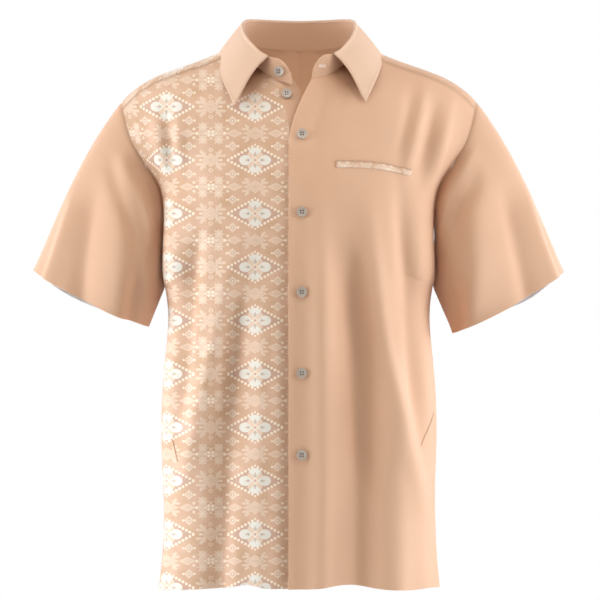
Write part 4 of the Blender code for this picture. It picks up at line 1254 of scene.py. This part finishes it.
def lay_cloth(name, points, outside, material, flat_places=None, closed=False, wall=WALL, offset=-1.0,
              seams=(), painted_shade=0.0, lining=WRONG_SIDE, facing=0.0, crisp=True):
    """A piece of cloth on a grid of points, with a wall and the flat place of each point as its UV."""
    near = near_seams(points, seams)
    points = points - normals_of(points, outside) * (SEAM_DIP * near)[..., None]
    # The seam attribute is painted shade: beside the seams, and where the caller asks for more.
    near = np.maximum(near, painted_shade)
    if flat_places is None:
        middle = arcs(points, 1)[points.shape[0] // 2]
        flat_places = np.stack([arcs(points, 0), np.broadcast_to(middle, points.shape[:2])], axis=-1)
    if closed:
        last_step = np.linalg.norm(points[:1] - points[-1:], axis=-1)[..., None] * np.array([1.0, 0.0])
        flat_places = np.concatenate([flat_places, flat_places[-1:] + last_step])
    raw = np.cross(np.gradient(points, axis=0), np.gradient(points, axis=1))
    middle = tuple((size - 1) // 2 for size in points.shape[:2])
    flip = np.dot(raw[middle], np.array(outside) - points[middle]) < 0
    columns, rows = lay_faces(points.shape[:2], closed, flip)
    corners = (columns % points.shape[0]) * points.shape[1] + rows
    mesh = bpy.data.meshes.new(name)
    mesh.from_pydata(points.reshape(-1, 3).tolist(), [], corners.tolist())
    cut = mesh.uv_layers.new(name="cut")
    cut.data.foreach_set("uv", flat_places[columns, rows].astype(np.float32).ravel())
    seam = mesh.attributes.new("seam", "FLOAT", "POINT")
    seam.data.foreach_set("value", near.astype(np.float32).ravel())
    mesh.shade_smooth()
    mesh.materials.append(material)
    piece = add_piece(name, mesh)
    pick(piece)
    solid = piece.modifiers.new("Wall", "SOLIDIFY")
    solid.thickness = wall
    solid.offset = offset
    bpy.ops.object.modifier_apply(modifier="Wall")
    if crisp:
        bpy.ops.object.shade_smooth_by_angle(angle=CRISP_ANGLE)
    piece.select_set(False)
    inner = np.zeros(len(piece.data.polygons), dtype=np.float32)
    inner[:len(corners)] = np.broadcast_to(facing, points.shape[1])[rows.min(axis=1)]
    inner[len(corners):2 * len(corners)] = lining
    piece.data.attributes.new("lining", "FLOAT", "FACE").data.foreach_set("value", inner)
    spread_area = np.linalg.norm(raw, axis=-1).sum()
    print("%s: %d faces, about %.3f square metres" % (name, len(piece.data.polygons), spread_area))
    return piece


def belongs(piece, node):
    """The piece moves with the shirt and stands for a CAD node, whose part it hides."""
    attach(piece, "root")
    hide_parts(node)
    return piece

# %% Finer steps near the edges
EDGE_STEPS = (0.0, 0.004, 0.009, 0.016)


def shares(count):
    """Shares from 0 to 1 in even steps, with a few short ones at both ends for the seams."""
    steps = np.array(EDGE_STEPS)
    inner = np.linspace(steps[-1], 1 - steps[-1], count)[1:-1]
    return np.concatenate([steps, inner, 1 - steps[::-1]])


def rows_through(corners, counts):
    """Shares that run through all the corners, with the given number of steps between them."""
    pieces = [np.linspace(a, b, n, endpoint=False) for a, b, n in zip(corners, corners[1:], counts)]
    rows = np.concatenate(pieces + [np.array([corners[-1]])])
    steps = np.array(EDGE_STEPS[1:-1])
    return np.sort(np.concatenate([rows, steps, 1 - steps]))


def grid(s_values, t_values):
    return np.meshgrid(np.asarray(s_values), np.asarray(t_values), indexing="ij")


RELAX_STEP = 0.5


def relax(points, free, rounds=40):
    """Even out the bends between rows, as cloth does; free says how far each column may move."""
    free = free[:, None, None] * RELAX_STEP
    for _ in range(rounds):
        run = arcs(points, 1)
        before = (run[:, 1:-1] - run[:, :-2])[..., None]
        after = (run[:, 2:] - run[:, 1:-1])[..., None]
        even = (points[:, :-2] * after + points[:, 2:] * before) / (before + after)
        points[:, 1:-1] += (even - points[:, 1:-1]) * free
    return points

# %% [markdown]
# ## Fronts
#
# The left front laps over the right one. Its edge is a fold: the facing is cut on and turned in for the
# width of a thumb. The printed right front ends at the button band, a plain strip that carries the
# buttons and hides under the lap, except where the open neck shows it.

# %% Grids of the fronts
FRONT_COLUMNS = 64
FRONT_S = shares(FRONT_COLUMNS)
FRONT_T = rows_through((0.0, FRONT_ARMPIT_ROW, FRONT_NECK_ROW, 1.0), (100, 56, 34))
FACING = 30 * MM
# Painted shade under the collar leaf: a band along this line on both fronts.
SHADE_LINE = ((46.0, -2.0), (86.0, -62.0))
SHADE_WIDTH = 19 * MM
SHADE_DEPTH = 2.6
SHADE_GROWS = (-0.6, 0.0)
SHADE_ENDS = (0.5, 1.15)


def painted_shade_under_leaf(points):
    """Painted shade on a front, in the hollow under the front edge of the collar leaf."""
    start, end = np.array(SHADE_LINE) * MM
    run = end - start
    place = np.stack([np.abs(points[..., 0]), points[..., 2]], axis=-1) - start
    reach = place @ run / (run @ run)
    aside = (place[..., 0] * run[1] - place[..., 1] * run[0]) / np.linalg.norm(run)
    along = ease(reach, *SHADE_GROWS) * (1 - ease(reach, *SHADE_ENDS))
    return SHADE_DEPTH * bell(aside, SHADE_WIDTH) * along


HEM_TURN = 15 * MM
HELD_AT_LAP = (0.0, 0.12)
HELD_AT_SIDE = (0.95, 1.0)
front_free = ease(FRONT_S, *HELD_AT_LAP) * (1 - ease(FRONT_S, *HELD_AT_SIDE))
left_grid = relax(front_surface(1, *grid(FRONT_S, FRONT_T)), front_free)
right_grid = relax(front_surface(-1, *grid(FRONT_S, FRONT_T)), front_free)
print("front grid:", left_grid.shape[:2])

# %% Left front
points, out = turn_under(left_grid, normals_of(left_grid, OUTSIDE_FRONT), 0, 0, FACING)
points, _ = turn_under(points, out, 1, 0, HEM_TURN)
left_front = belongs(
    lay_cloth("plain_left_front", points, OUTSIDE_FRONT, plain, seams=(LAST_S, LAST_T),
              painted_shade=painted_shade_under_leaf(points)),
    "front_left",
)

# %% [markdown]
# The print's place on the right front is measured from a column of large diamonds near the buttons.
# Seen from the front the print is even, so its place across is simply the place across the body, up to
# where the front turns to the side. From there on it follows the cloth round, or it would smear.

# %% Right front
DIAMOND_COLUMN_X = -59.6 * MM
DIAMOND_ROW_Z = -76.4 * MM
TURN_STARTS, TURN_ENDS = 0.80, 0.92
FRONT_DEPTH = -0.12


def as_seen(points):
    """The places x and z of points as they line up with the middle of the front seen from the camera."""
    nearness = (CAMERA_DISTANCE + FRONT_DEPTH) / (CAMERA_DISTANCE + points[..., 1:2])
    centre = np.array(STRIP_CENTRE)
    return centre + (points[..., [0, 2]] - centre) * nearness


def print_places(points):
    """The place of the print on each point of a grid: flat across the front, round the side."""
    seen = as_seen(points)
    steps = np.diff(points, axis=0)
    round_steps = np.linalg.norm(steps, axis=-1) * np.sign(steps[..., 0])
    turned = ease(FRONT_S[1:, None], TURN_STARTS, TURN_ENDS)
    steps = np.diff(seen[..., 0], axis=0) * (1 - turned) + round_steps * turned
    from_start = np.concatenate([np.zeros((1, points.shape[1])), np.cumsum(steps, axis=0)])
    across_cloth = seen[:1, :, 0] + from_start
    return np.stack([across_cloth - DIAMOND_COLUMN_X, seen[..., 1] - DIAMOND_ROW_Z], axis=-1)


right_out = normals_of(right_grid, mirrored(OUTSIDE_FRONT, -1))
points, _ = turn_under(right_grid, right_out, 1, 0, HEM_TURN)
places = print_places(points)
right_front = belongs(
    lay_cloth("printed_right_front", points, mirrored(OUTSIDE_FRONT, -1), printed, places,
              seams=(LAST_S, LAST_T), painted_shade=painted_shade_under_leaf(points)),
    "front_right",
)

# %% Button band
BAND_T = FRONT_T[FRONT_T <= FRONT_NECK_ROW]
BAND_COLUMNS = 12
BAND_NARROWING = 0.24
BAND_ROLL = 4 * MM
BAND_TURN = 10 * MM
BAND_NARROWS_FROM = 0.95
BAND_ROLLS_FROM = 0.86

seam_line = right_grid[0, :len(BAND_T)]
narrower = BAND_NARROWING * ease(BAND_T, BAND_NARROWS_FROM * FRONT_NECK_ROW, FRONT_NECK_ROW)
width = LAP_WIDTH * (1 - narrower)
across_band = np.linspace(0, 1, BAND_COLUMNS)
band_grid = seam_line[None] + across_band[:, None, None] * width[None, :, None] * np.array([1.0, 0, 0])
roll = ease(BAND_T, BAND_ROLLS_FROM * FRONT_NECK_ROW, FRONT_NECK_ROW)
band_grid[..., 1] += across_band[:, None] ** 2 * BAND_ROLL * roll
for row in range(band_grid.shape[1]):
    over = left_grid[:, row]
    covered = np.maximum(band_grid[:, row, 0], over[0, 0])
    behind = np.interp(covered, over[:, 0], over[:, 1]) + LAP_STEP
    band_grid[:, row, 1] = np.maximum(band_grid[:, row, 1], behind)
points, out = turn_under(band_grid, normals_of(band_grid, OUTSIDE_FRONT), 0, 1, BAND_TURN)
points, _ = turn_under(points, out, 1, 0, HEM_TURN)
band = belongs(
    lay_cloth("button_underlap", points, OUTSIDE_FRONT, plain),
    "button_band",
)

# %% [markdown]
# ## Back and yoke
#
# The back is one piece that hangs from the yoke, and the yoke comes forward over the shoulders, so the
# shoulder seam lies a little in front. The right half of the yoke is printed like the front below it.

# %% Back
BACK_HALF_COLUMNS = 52
BACK_S = np.concatenate([-shares(BACK_HALF_COLUMNS)[:0:-1], shares(BACK_HALF_COLUMNS)])
BACK_T = rows_through((0.0, BACK_ARMPIT_ROW, 1.0), (92, 52))
points = relax(back_surface(*grid(BACK_S, BACK_T)), 1 - ease(np.abs(BACK_S), *BACK_SIDE_FADE))
points, _ = turn_under(points, normals_of(points, OUTSIDE_BACK), 1, 0, HEM_TURN)
back = belongs(
    lay_cloth("plain_back", points, OUTSIDE_BACK, plain, seams=(FIRST_S, LAST_S, LAST_T)),
    "back",
)

# %% Yoke
YOKE_COLUMNS = 40
YOKE_T = rows_through((0.0, YOKE_CENTRE_ROW, 1.0), (30, 16))
SEAM_LINE_WIDTH = 0.8 * MM
SEAM_LINE_SHADE = {1: 1.2, -1: 2.8}
YOKE_LINING = {1: 0.0, -1: 1.0}
for side, name, node, cotton, slot in (
    (1, "plain_left_yoke", "yoke_left", plain, "plain_cloth"),
    (-1, "printed_right_yoke", "yoke_right", printed, "printed_cloth"),
):
    points = yoke_surface(side, *grid(shares(YOKE_COLUMNS), YOKE_T))
    down = arcs(points, 1)
    to_seam = down[:, -1:] - down
    places = np.stack([points[..., 0] - DIAMOND_COLUMN_X, BACK_SEAM_Z + to_seam - DIAMOND_ROW_Z], axis=-1)
    # A thin line of painted shade along the yoke's front seam.
    line = SEAM_LINE_SHADE[side] * near_seams(points, (FIRST_T,), SEAM_LINE_WIDTH)
    yoke = lay_cloth(name, points, mirrored(OUTSIDE_YOKE, side), cotton, places,
                     seams=(LAST_S, FIRST_T, LAST_T), painted_shade=line, lining=YOKE_LINING[side])
    belongs(yoke, node)

# %% Sleeves
SLEEVE_COLUMNS = 128
SLEEVE_ROWS = 60
SLEEVE_HEM_TURN = 22 * MM
SLEEVE_INSIDE = 1.0
TAPED = 2.0
OUTSIDE_SLEEVE = (5.0, 0.0, 2.0)
sleeve_rows = shares(SLEEVE_ROWS)
sleeve_grids = {}
for side, name, node in (
    (1, "left_sleeve_cloth", "sleeve_left"),
    (-1, "right_sleeve_cloth", "sleeve_right"),
):
    outside = mirrored(OUTSIDE_SLEEVE, side)
    points = sleeve_surface(side, *grid(np.arange(SLEEVE_COLUMNS) / SLEEVE_COLUMNS, sleeve_rows))
    sleeve_grids[side] = points
    points, _ = turn_under(points, normals_of(points, outside), 1, 1, SLEEVE_HEM_TURN)
    tape = np.where(np.arange(points.shape[1]) > len(sleeve_rows), TAPED, 0.0)
    sleeve = lay_cloth(name, points, outside, plain, closed=True, seams=(FIRST_T,), lining=SLEEVE_INSIDE,
                       facing=tape)
    belongs(sleeve, node)

# %% Collar
STAND_WALL = 0.9 * MM
LEAF_WALL = 0.8 * MM
# Painted shade along the edges of the collar leaf.
LEAF_EDGE_SHADE = 0.6
# Painted light: how much paler the leaf's outer face is painted.
LEAF_PAINTED_LIGHT = -0.85
STAND_END_COLUMNS, STAND_COLUMNS, STAND_ROWS = 16, 60, 14
LEAF_COLUMNS, LEAF_ROWS = 70, 20
OUTSIDE_COLLAR = (0.0, 3.0, 0.4)
stand_shares = np.concatenate([
    STAND_END_SHARE * np.linspace(0, 1, STAND_END_COLUMNS) ** 2,
    np.linspace(STAND_END_SHARE, 1, STAND_COLUMNS)[1:],
])
points = stand_points(stand_shares, np.linspace(0, 1, STAND_ROWS))
stand = belongs(
    lay_cloth("plain_collar_stand", points, OUTSIDE_COLLAR, plain, wall=STAND_WALL, crisp=False),
    "collar_stand",
)

# The leaf's outer face is painted paler, a painted light.
points = leaf_points(np.linspace(0, 1, LEAF_COLUMNS), np.linspace(0, 1, LEAF_ROWS))
leaf = belongs(
    lay_cloth("plain_collar_leaf", points, OUTSIDE_COLLAR, plain, wall=LEAF_WALL, offset=0.0,
              crisp=False, facing=LEAF_PAINTED_LIGHT,
              painted_shade=LEAF_EDGE_SHADE * near_seams(points, (FIRST_S, LAST_S, LAST_T))),
    "collar_leaf",
)

# %% [markdown]
# ## Pocket welts
#
# A welt is a folded strip that closes the mouth of a pocket. The one on the chest is cut from the
# printed cloth, and its pattern is finer than the front's. The two at the sides are cut from the plain
# cloth. Each is laid on the front along a line of places, sewn down along its lower edge and free along
# the upper one.

# %% Places on a front
SEARCH_ROUNDS = 30


def frame_in_grid(points, at):
    """Point, sideways slope and upward slope of a grid at a column and row that need not be whole."""
    cell = np.clip(np.floor(at), 0, np.array(points.shape[:2]) - 2).astype(int)
    u, w = at - cell
    near = points[cell[0]:cell[0] + 2, cell[1]:cell[1] + 2]
    aside = (near[1, 0] - near[0, 0]) * (1 - w) + (near[1, 1] - near[0, 1]) * w
    up = (near[0, 1] - near[0, 0]) * (1 - u) + (near[1, 1] - near[1, 0]) * u
    return near[0, 0] + (near[1, 0] - near[0, 0]) * u + up * w, aside, up


def frame_on_grid(points, x, z):
    """The point and the normal at which a grid that faces the front passes the place (x, z)."""
    wanted = np.array([x, z])
    start = np.argmin(np.linalg.norm(points[..., [0, 2]] - wanted, axis=-1))
    at = np.array(np.unravel_index(start, points.shape[:2]), dtype=float)
    for _ in range(SEARCH_ROUNDS):
        point, aside, up = frame_in_grid(points, at)
        at = at + np.linalg.solve(np.stack([aside, up], axis=1)[[0, 2]], wanted - point[[0, 2]])
    normal = unit(np.cross(aside, up))
    return point, normal if normal[1] < 0 else -normal

# %% Welts
CHEST_WELT = ((0.149, 0.710), (0.266, 0.737), (0.412, 0.762), (0.585, 0.783))
CHEST_WELT_HEIGHT = 10 * MM
SIDE_WELT_LEFT = ((0.84, 0.300), (0.66, 0.246))
SIDE_WELT_RIGHT = ((0.69, 0.257), (0.60, 0.220))
SIDE_WELT_HEIGHT = 4 * MM
WELT_WALL = 0.5 * MM
WELT_CUT_FROM = (42.0, HALF_H - 6.0)
CHEST_WELT_SHADE = 1.6
SIDE_WELT_SHADE = 0.0
SIDE_WELT_RISE = 0.5
WELT_PRINT_FINENESS = 1.9
WELT_MOUTH_LINES = 3
CHEST_WELT_STEPS, SIDE_WELT_STEPS = 60, 24
WELT_PROFILE = (
    # share of the half height up the strip, height above the front in millimetres
    (-1.00, 0.10),
    (-0.97, 0.80),
    (-0.80, 1.25),
    (-0.30, 1.45),
    (0.40, 1.50),
    (0.90, 1.45),
    (1.00, 1.10),
    (0.98, 0.65),
)


def lay_welt(name, side, places, height, material, steps, shade, rise=1.0, fineness=1.0):
    """A folded strip on a front, along places that are given as shares across and up it."""
    points = left_grid if side > 0 else right_grid
    rows = np.column_stack([np.linspace(0, 1, len(places)), places])
    path = smooth(rows, np.linspace(0, 1, steps + 1)).T
    path[0] = np.interp(path[0], FRONT_S, range(len(FRONT_S)))
    path[1] = np.interp(path[1], FRONT_T, range(len(FRONT_T)))
    frames = [frame_in_grid(points, at) for at in path.T]
    centre = np.array([point for point, _, _ in frames])
    normal = unit(np.array([np.cross(aside, up) * side for _, aside, up in frames]))
    upwards = unit(np.cross(normal, np.gradient(centre, axis=0)))
    upwards *= np.sign(upwards[:, 2:])
    lines = [
        centre + upwards * (share * height / 2) + normal * above * rise * MM
        for share, above in WELT_PROFILE
    ]
    strip = np.stack(lines, axis=1)
    flat = np.stack([arcs(strip, 0), arcs(strip, 1)], axis=-1) * fineness + np.array(WELT_CUT_FROM) * MM
    # Painted shade along the top edge of the strip, in the mouth of the pocket.
    mouth = (np.arange(len(WELT_PROFILE)) >= len(WELT_PROFILE) - WELT_MOUTH_LINES) * shade
    outside = mirrored(OUTSIDE_FRONT, side)
    return lay_cloth(name, strip, outside, material, flat, wall=WELT_WALL, painted_shade=mouth)


chest = belongs(
    lay_welt("printed_chest_welt", 1, CHEST_WELT, CHEST_WELT_HEIGHT, printed, CHEST_WELT_STEPS,
             CHEST_WELT_SHADE, fineness=WELT_PRINT_FINENESS),
    "chest_welt",
)
for side, name, node, places, length, area in (
    (1, "plain_left_pocket_welt", "side_welt_left", SIDE_WELT_LEFT, 0.047, 0.00026),
    (-1, "plain_right_pocket_welt", "side_welt_right", SIDE_WELT_RIGHT, 0.031, 0.00016),
):
    welt = lay_welt(name, side, places, SIDE_WELT_HEIGHT, plain, SIDE_WELT_STEPS, SIDE_WELT_SHADE,
                    rise=SIDE_WELT_RISE)
    belongs(welt, node)

# %% [markdown]
# ## Buttons
#
# The buttons are small four-hole ones, turned from pearly grey plastic with a raised rim. One is
# modelled by hand and copied seven times. It starts as a disc: the top is inset and sunk to leave the
# rim, the edges are bevelled, and a Boolean with four little rods drills the holes. The walls of the holes
# take the dark finish of the thread as painted shade, so that they look deep. The thread is four dark
# posts that fill the lower part of the holes and hold the button off the cloth.

# %% Button materials
PEARL_STREAK = 4 * MM
PEARL_GRAIN = (0.15, 0.1 * MM)
YARN_TWIST = 0.5 * MM


def patterned(name, size, stretch, detail, light, dark, **sliders):
    """A finish with clouds of two tones that stay on the object, and its shader and clouds."""
    material, shader = new_finish(name, **sliders)
    spot = node_beside([shader.inputs["Normal"]], "ShaderNodeTexCoord").outputs["Object"]
    pattern = clouds(spot, size, stretch, detail)
    plug([shader.inputs["Base Color"]], [dye(pattern, light, dark)])
    return material, shader, pattern


def thread_material(name, light, dark):
    """Twisted sewing thread: fine stripes of two tones across a matt yarn."""
    return patterned(name, YARN_TWIST, (1.0, 1.0, 1.0), 1.0, light, dark, Roughness=0.75)[0]


pearl, shader, streaks = patterned(
    "grey pearl", PEARL_STREAK, (1.0, 1.0, 0.35), 3.0, paint_of(200, 186, 175), paint_of(172, 158, 148),
    Roughness=0.28, Coat_Weight=0.3, Coat_Roughness=0.15,
)
raise_grain(shader, streaks, *PEARL_GRAIN)
thread_and_hole_shade = thread_material("dark button thread", paint_of(58, 52, 54), paint_of(30, 28, 34))
peach_thread = thread_material("peach sewing thread", paint_of(226, 184, 154), paint_of(196, 150, 118))
pale_thread = thread_material("pale buttonhole thread", paint_of(255, 240, 232), paint_of(250, 222, 212))

# %% One button by hand
BUTTON_RADIUS = 7 * MM
BUTTON_THICKNESS = 2.6 * MM
BUTTON_RIM = 1.3 * MM
BUTTON_DISH = 0.7 * MM
HOLE_RADIUS = 1.05 * MM
HOLE_PLACE = 1.65 * MM
EDGE_BEVEL = 0.3 * MM
BUTTON_SIDES, ROD_SIDES, BEVEL_STEPS = 44, 14, 3
DISH_NARROWING = 0.93
FACES_ALONG = 0.9
BEVEL_FROM = math.radians(30)
BUTTON_CRISP = math.radians(35)


def choose_faces(mesh, test):
    """Select only the faces whose normal passes the test, in edit mode."""
    bpy.ops.object.mode_set(mode="OBJECT")
    for part in (mesh.vertices, mesh.edges, mesh.polygons):
        part.foreach_set("select", [False] * len(part))
    mesh.polygons.foreach_set("select", [test(face.normal) for face in mesh.polygons])
    bpy.ops.object.mode_set(mode="EDIT")


def join_and_settle(objects, name):
    """Join objects into one at the origin, with its place in its mesh."""
    bpy.ops.object.select_all(action="DESELECT")
    for part in objects:
        part.select_set(True)
    bpy.context.view_layer.objects.active = objects[0]
    bpy.ops.object.join()
    bpy.ops.object.transform_apply(location=True, rotation=True, scale=True)
    joined = bpy.context.object
    joined.name = name
    joined.select_set(False)
    return joined


def add_rods(radius, depth, height):
    """Four rods where the holes are."""
    rods = []
    for x in (-HOLE_PLACE, HOLE_PLACE):
        for y in (-HOLE_PLACE, HOLE_PLACE):
            bpy.ops.mesh.primitive_cylinder_add(
                vertices=ROD_SIDES, radius=radius, depth=depth, location=(x, y, height)
            )
            rods.append(bpy.context.object)
    return rods


bpy.ops.mesh.primitive_cylinder_add(
    vertices=BUTTON_SIDES, radius=BUTTON_RADIUS, depth=BUTTON_THICKNESS,
    location=(0, 0, BUTTON_THICKNESS / 2),
)
button_blank = bpy.context.object
button_blank.name = "button_blank"
bpy.ops.object.transform_apply(location=True, rotation=True, scale=True)
bpy.ops.object.mode_set(mode="EDIT")
bpy.ops.mesh.select_mode(type="FACE")
choose_faces(button_blank.data, lambda normal: normal.z < -FACES_ALONG)
bpy.ops.mesh.inset(thickness=BUTTON_RIM, depth=0)
choose_faces(button_blank.data, lambda normal: normal.z > FACES_ALONG)
bpy.ops.mesh.inset(thickness=BUTTON_RIM, depth=0)
bpy.ops.transform.translate(value=(0, 0, -BUTTON_DISH))
bpy.ops.transform.resize(value=(DISH_NARROWING, DISH_NARROWING, 1))
bpy.ops.mesh.select_all(action="SELECT")
bpy.ops.object.mode_set(mode="OBJECT")
bevel = button_blank.modifiers.new("Edges", "BEVEL")
bevel.width = EDGE_BEVEL
bevel.segments = BEVEL_STEPS
bevel.limit_method = "ANGLE"
bevel.angle_limit = BEVEL_FROM
bpy.ops.object.modifier_apply(modifier="Edges")
button_blank.data.materials.append(pearl)
drill = join_and_settle(add_rods(HOLE_RADIUS, 4 * BUTTON_THICKNESS, 0), "drill")
# The hole walls take this dark finish: painted shade inside the holes.
drill.data.materials.append(thread_and_hole_shade)
pick(button_blank)
cut_out = button_blank.modifiers.new("Holes", "BOOLEAN")
cut_out.operation = "DIFFERENCE"
cut_out.solver = "EXACT"
cut_out.object = drill
cut_out.material_mode = "TRANSFER"
bpy.ops.object.modifier_apply(modifier="Holes")
bpy.ops.object.shade_smooth_by_angle(angle=BUTTON_CRISP)
bpy.data.objects.remove(drill)
print("button:", len(button_blank.data.polygons), "faces")

# %% Its thread
BUTTON_SHANK = 0.8 * MM
THREAD_RADIUS = 0.75 * MM
THREAD_TOP = 0.5 * MM
THREAD_EDGE = 0.3 * MM
THREAD_SWELL = 0.2 * MM
THREAD_CRISP = math.radians(50)

posts = add_rods(THREAD_RADIUS, THREAD_TOP + BUTTON_SHANK, (THREAD_TOP - BUTTON_SHANK) / 2)
thread_blank = join_and_settle(posts, "thread_blank")
pick(thread_blank)
bpy.ops.object.mode_set(mode="EDIT")
choose_faces(thread_blank.data, lambda normal: normal.z > FACES_ALONG)
bpy.ops.mesh.inset(thickness=THREAD_EDGE, depth=0)
bpy.ops.transform.translate(value=(0, 0, THREAD_SWELL))
bpy.ops.object.mode_set(mode="OBJECT")
bpy.ops.object.shade_smooth_by_angle(angle=THREAD_CRISP)
thread_blank.data.materials.append(thread_and_hole_shade)
bpy.ops.object.select_all(action="DESELECT")

# %% Sewing the buttons on
LAP_BUTTONS_Z = (-113 * MM, -219.5 * MM, -328 * MM, -438 * MM, -549 * MM)
BAND_BUTTON_Z = -57 * MM
BAND_BUTTON_COLUMN = 3
NECK_BUTTON_SHARE = 0.100
NECK_BUTTON_RISE = 0.42
NECK_BUTTON_PATCH = (0.01, 0.1)


def copy_to(blank, name, point, normal):
    """A copy of a blank with its own mesh, standing on a point and looking along a normal."""
    piece = add_piece(name, blank.data.copy())
    turn = Vector(normal).to_track_quat("Z", "Y").to_matrix().to_4x4()
    piece.data.transform(Matrix.Translation(Vector(point)) @ turn)
    return piece


def place_on_stand(side, share, rise, patch):
    """Point and normal of the stand's outer face at shares round and up it, from a patch about them."""
    steps = np.array([-1, 0, 1])
    bottom, top = (neck_ring(rows, share + patch[0] * steps, side) for rows in (NECKLINE, STAND_TOP))
    rises = rise + patch[1] * steps
    points = bottom[:, None] + (top - bottom)[:, None] * rises[None, :, None]
    points[..., 0] *= side
    return points[1, 1], normals_of(points, OUTSIDE_FRONT)[1, 1]


button_places = {
    "button_neck": place_on_stand(-1, NECK_BUTTON_SHARE, NECK_BUTTON_RISE, NECK_BUTTON_PATCH),
}
band_middle = band_grid[BAND_BUTTON_COLUMN]
nearest = band_middle[np.argmin(abs(band_middle[:, 2] - BAND_BUTTON_Z))]
button_places["button_1"] = frame_on_grid(band_grid, nearest[0], nearest[2])
for number, height in enumerate(LAP_BUTTONS_Z):
    button_places["button_%d" % (number + 2)] = frame_on_grid(left_grid, BUTTON_LINE_X, height)
for node, (point, normal) in button_places.items():
    seat = np.array(point) + np.array(normal) * BUTTON_SHANK
    belongs(copy_to(button_blank, "pearl_" + node, seat, normal), node)
    thread = copy_to(thread_blank, "thread_of_" + node, seat, normal)
    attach(thread, "root")
for blank in (button_blank, thread_blank):
    bpy.data.objects.remove(blank)
print("buttons:", len(button_places))

# %% [markdown]
# ## Stitches
#
# The sleeve hems are held by a row of small stitches in a thread of the cloth's colour, and the
# buttonhole of the stand is worked in paler thread. One stitch is modelled, flattened from a round
# bead, and repeated by an array of places, so that a whole row is a single mesh.

# %% Rows of stitches
STITCH_LENGTH = 2.2 * MM
STITCH_WIDTH = 0.45 * MM
STITCH_STEP = 3.0 * MM
STITCH_FLATNESS = 0.55

bpy.ops.mesh.primitive_uv_sphere_add(segments=6, ring_count=4, radius=0.5)
stitch = bpy.context.object
bpy.ops.object.mode_set(mode="EDIT")
bpy.ops.transform.resize(value=(1.0, 1.0, STITCH_FLATNESS))
bpy.ops.object.mode_set(mode="OBJECT")
stitch_corners = np.array([v.co for v in stitch.data.vertices])
stitch_faces = [list(face.vertices) for face in stitch.data.polygons]
bpy.data.objects.remove(stitch)


def sew(name, places, along, normals, size, material):
    """One mesh of many stitches, each at a place, lying along a direction on a surface."""
    along = unit(along)
    normals = unit(normals - along * np.sum(normals * along, axis=-1, keepdims=True))
    beside = np.cross(normals, along)
    corners = []
    faces = []
    for place, *axes in zip(places, along, beside, normals):
        start = len(corners) * len(stitch_corners)
        corners.append(place + (stitch_corners * np.array(size)) @ np.array(axes))
        faces += [[start + corner for corner in face] for face in stitch_faces]
    mesh = bpy.data.meshes.new(name)
    mesh.from_pydata(np.concatenate(corners).tolist(), [], faces)
    mesh.shade_smooth()
    mesh.materials.append(material)
    piece = add_piece(name, mesh)
    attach(piece, "root")
    print("%s: %d stitches" % (name, len(corners)))


def evenly(line, step):
    """Places along a line of points at even steps."""
    run = np.concatenate([[0], np.cumsum(np.linalg.norm(np.diff(line, axis=0), axis=1))])
    wanted = np.arange(0, run[-1], step)
    return np.stack([np.interp(wanted, run, line[:, axis]) for axis in range(3)], axis=1)

# %% Sleeve hems
STITCHES_FROM_TURN = 2 * MM

for side, name in ((1, "left_sleeve_hem_stitches"), (-1, "right_sleeve_hem_stitches")):
    points = sleeve_grids[side]
    outward = normals_of(points, mirrored(OUTSIDE_SLEEVE, side))
    left_over = arcs(points, 1)
    left_over = left_over[:, -1:] - left_over
    row = int(np.argmin(abs(left_over.mean(axis=0) - SLEEVE_HEM_TURN + STITCHES_FROM_TURN)))
    line = np.concatenate([points[:, row], points[:1, row]])
    line_out = np.concatenate([outward[:, row], outward[:1, row]])
    places = evenly(line, STITCH_STEP)
    nearest = [int(np.argmin(np.linalg.norm(line - place, axis=1))) for place in places]
    sew(name, places, np.gradient(places, axis=0), line_out[nearest],
        (STITCH_LENGTH, STITCH_WIDTH, STITCH_WIDTH), peach_thread)

# %% Buttonhole of the stand
HOLE_SHARE = 0.082
HOLE_RISE = 0.50
HOLE_LENGTH = 9 * MM
HOLE_STEP = 0.55 * MM
HOLE_PATCH = (0.02, 0.12)
WHIP = 2.2 * MM
WHIP_FROM_SLIT = 0.45
THREAD_LIES_OFF = 0.1 * MM

middle, outward = place_on_stand(1, HOLE_SHARE, HOLE_RISE, HOLE_PATCH)
course = unit(np.cross(outward, np.array([0.0, 0.0, 1.0])))
rising = np.cross(outward, course)
steps = np.arange(-HOLE_LENGTH / 2, HOLE_LENGTH / 2, HOLE_STEP)[:, None] * course
row = middle + outward * THREAD_LIES_OFF + steps
places = np.concatenate([row + rising * WHIP * WHIP_FROM_SLIT * way for way in (-1, 1)])
count = (len(places), 1)
sew("stand_buttonhole_stitches", places, np.tile(rising, count), np.tile(outward, count),
    (WHIP, HOLE_STEP, STITCH_WIDTH), pale_thread)
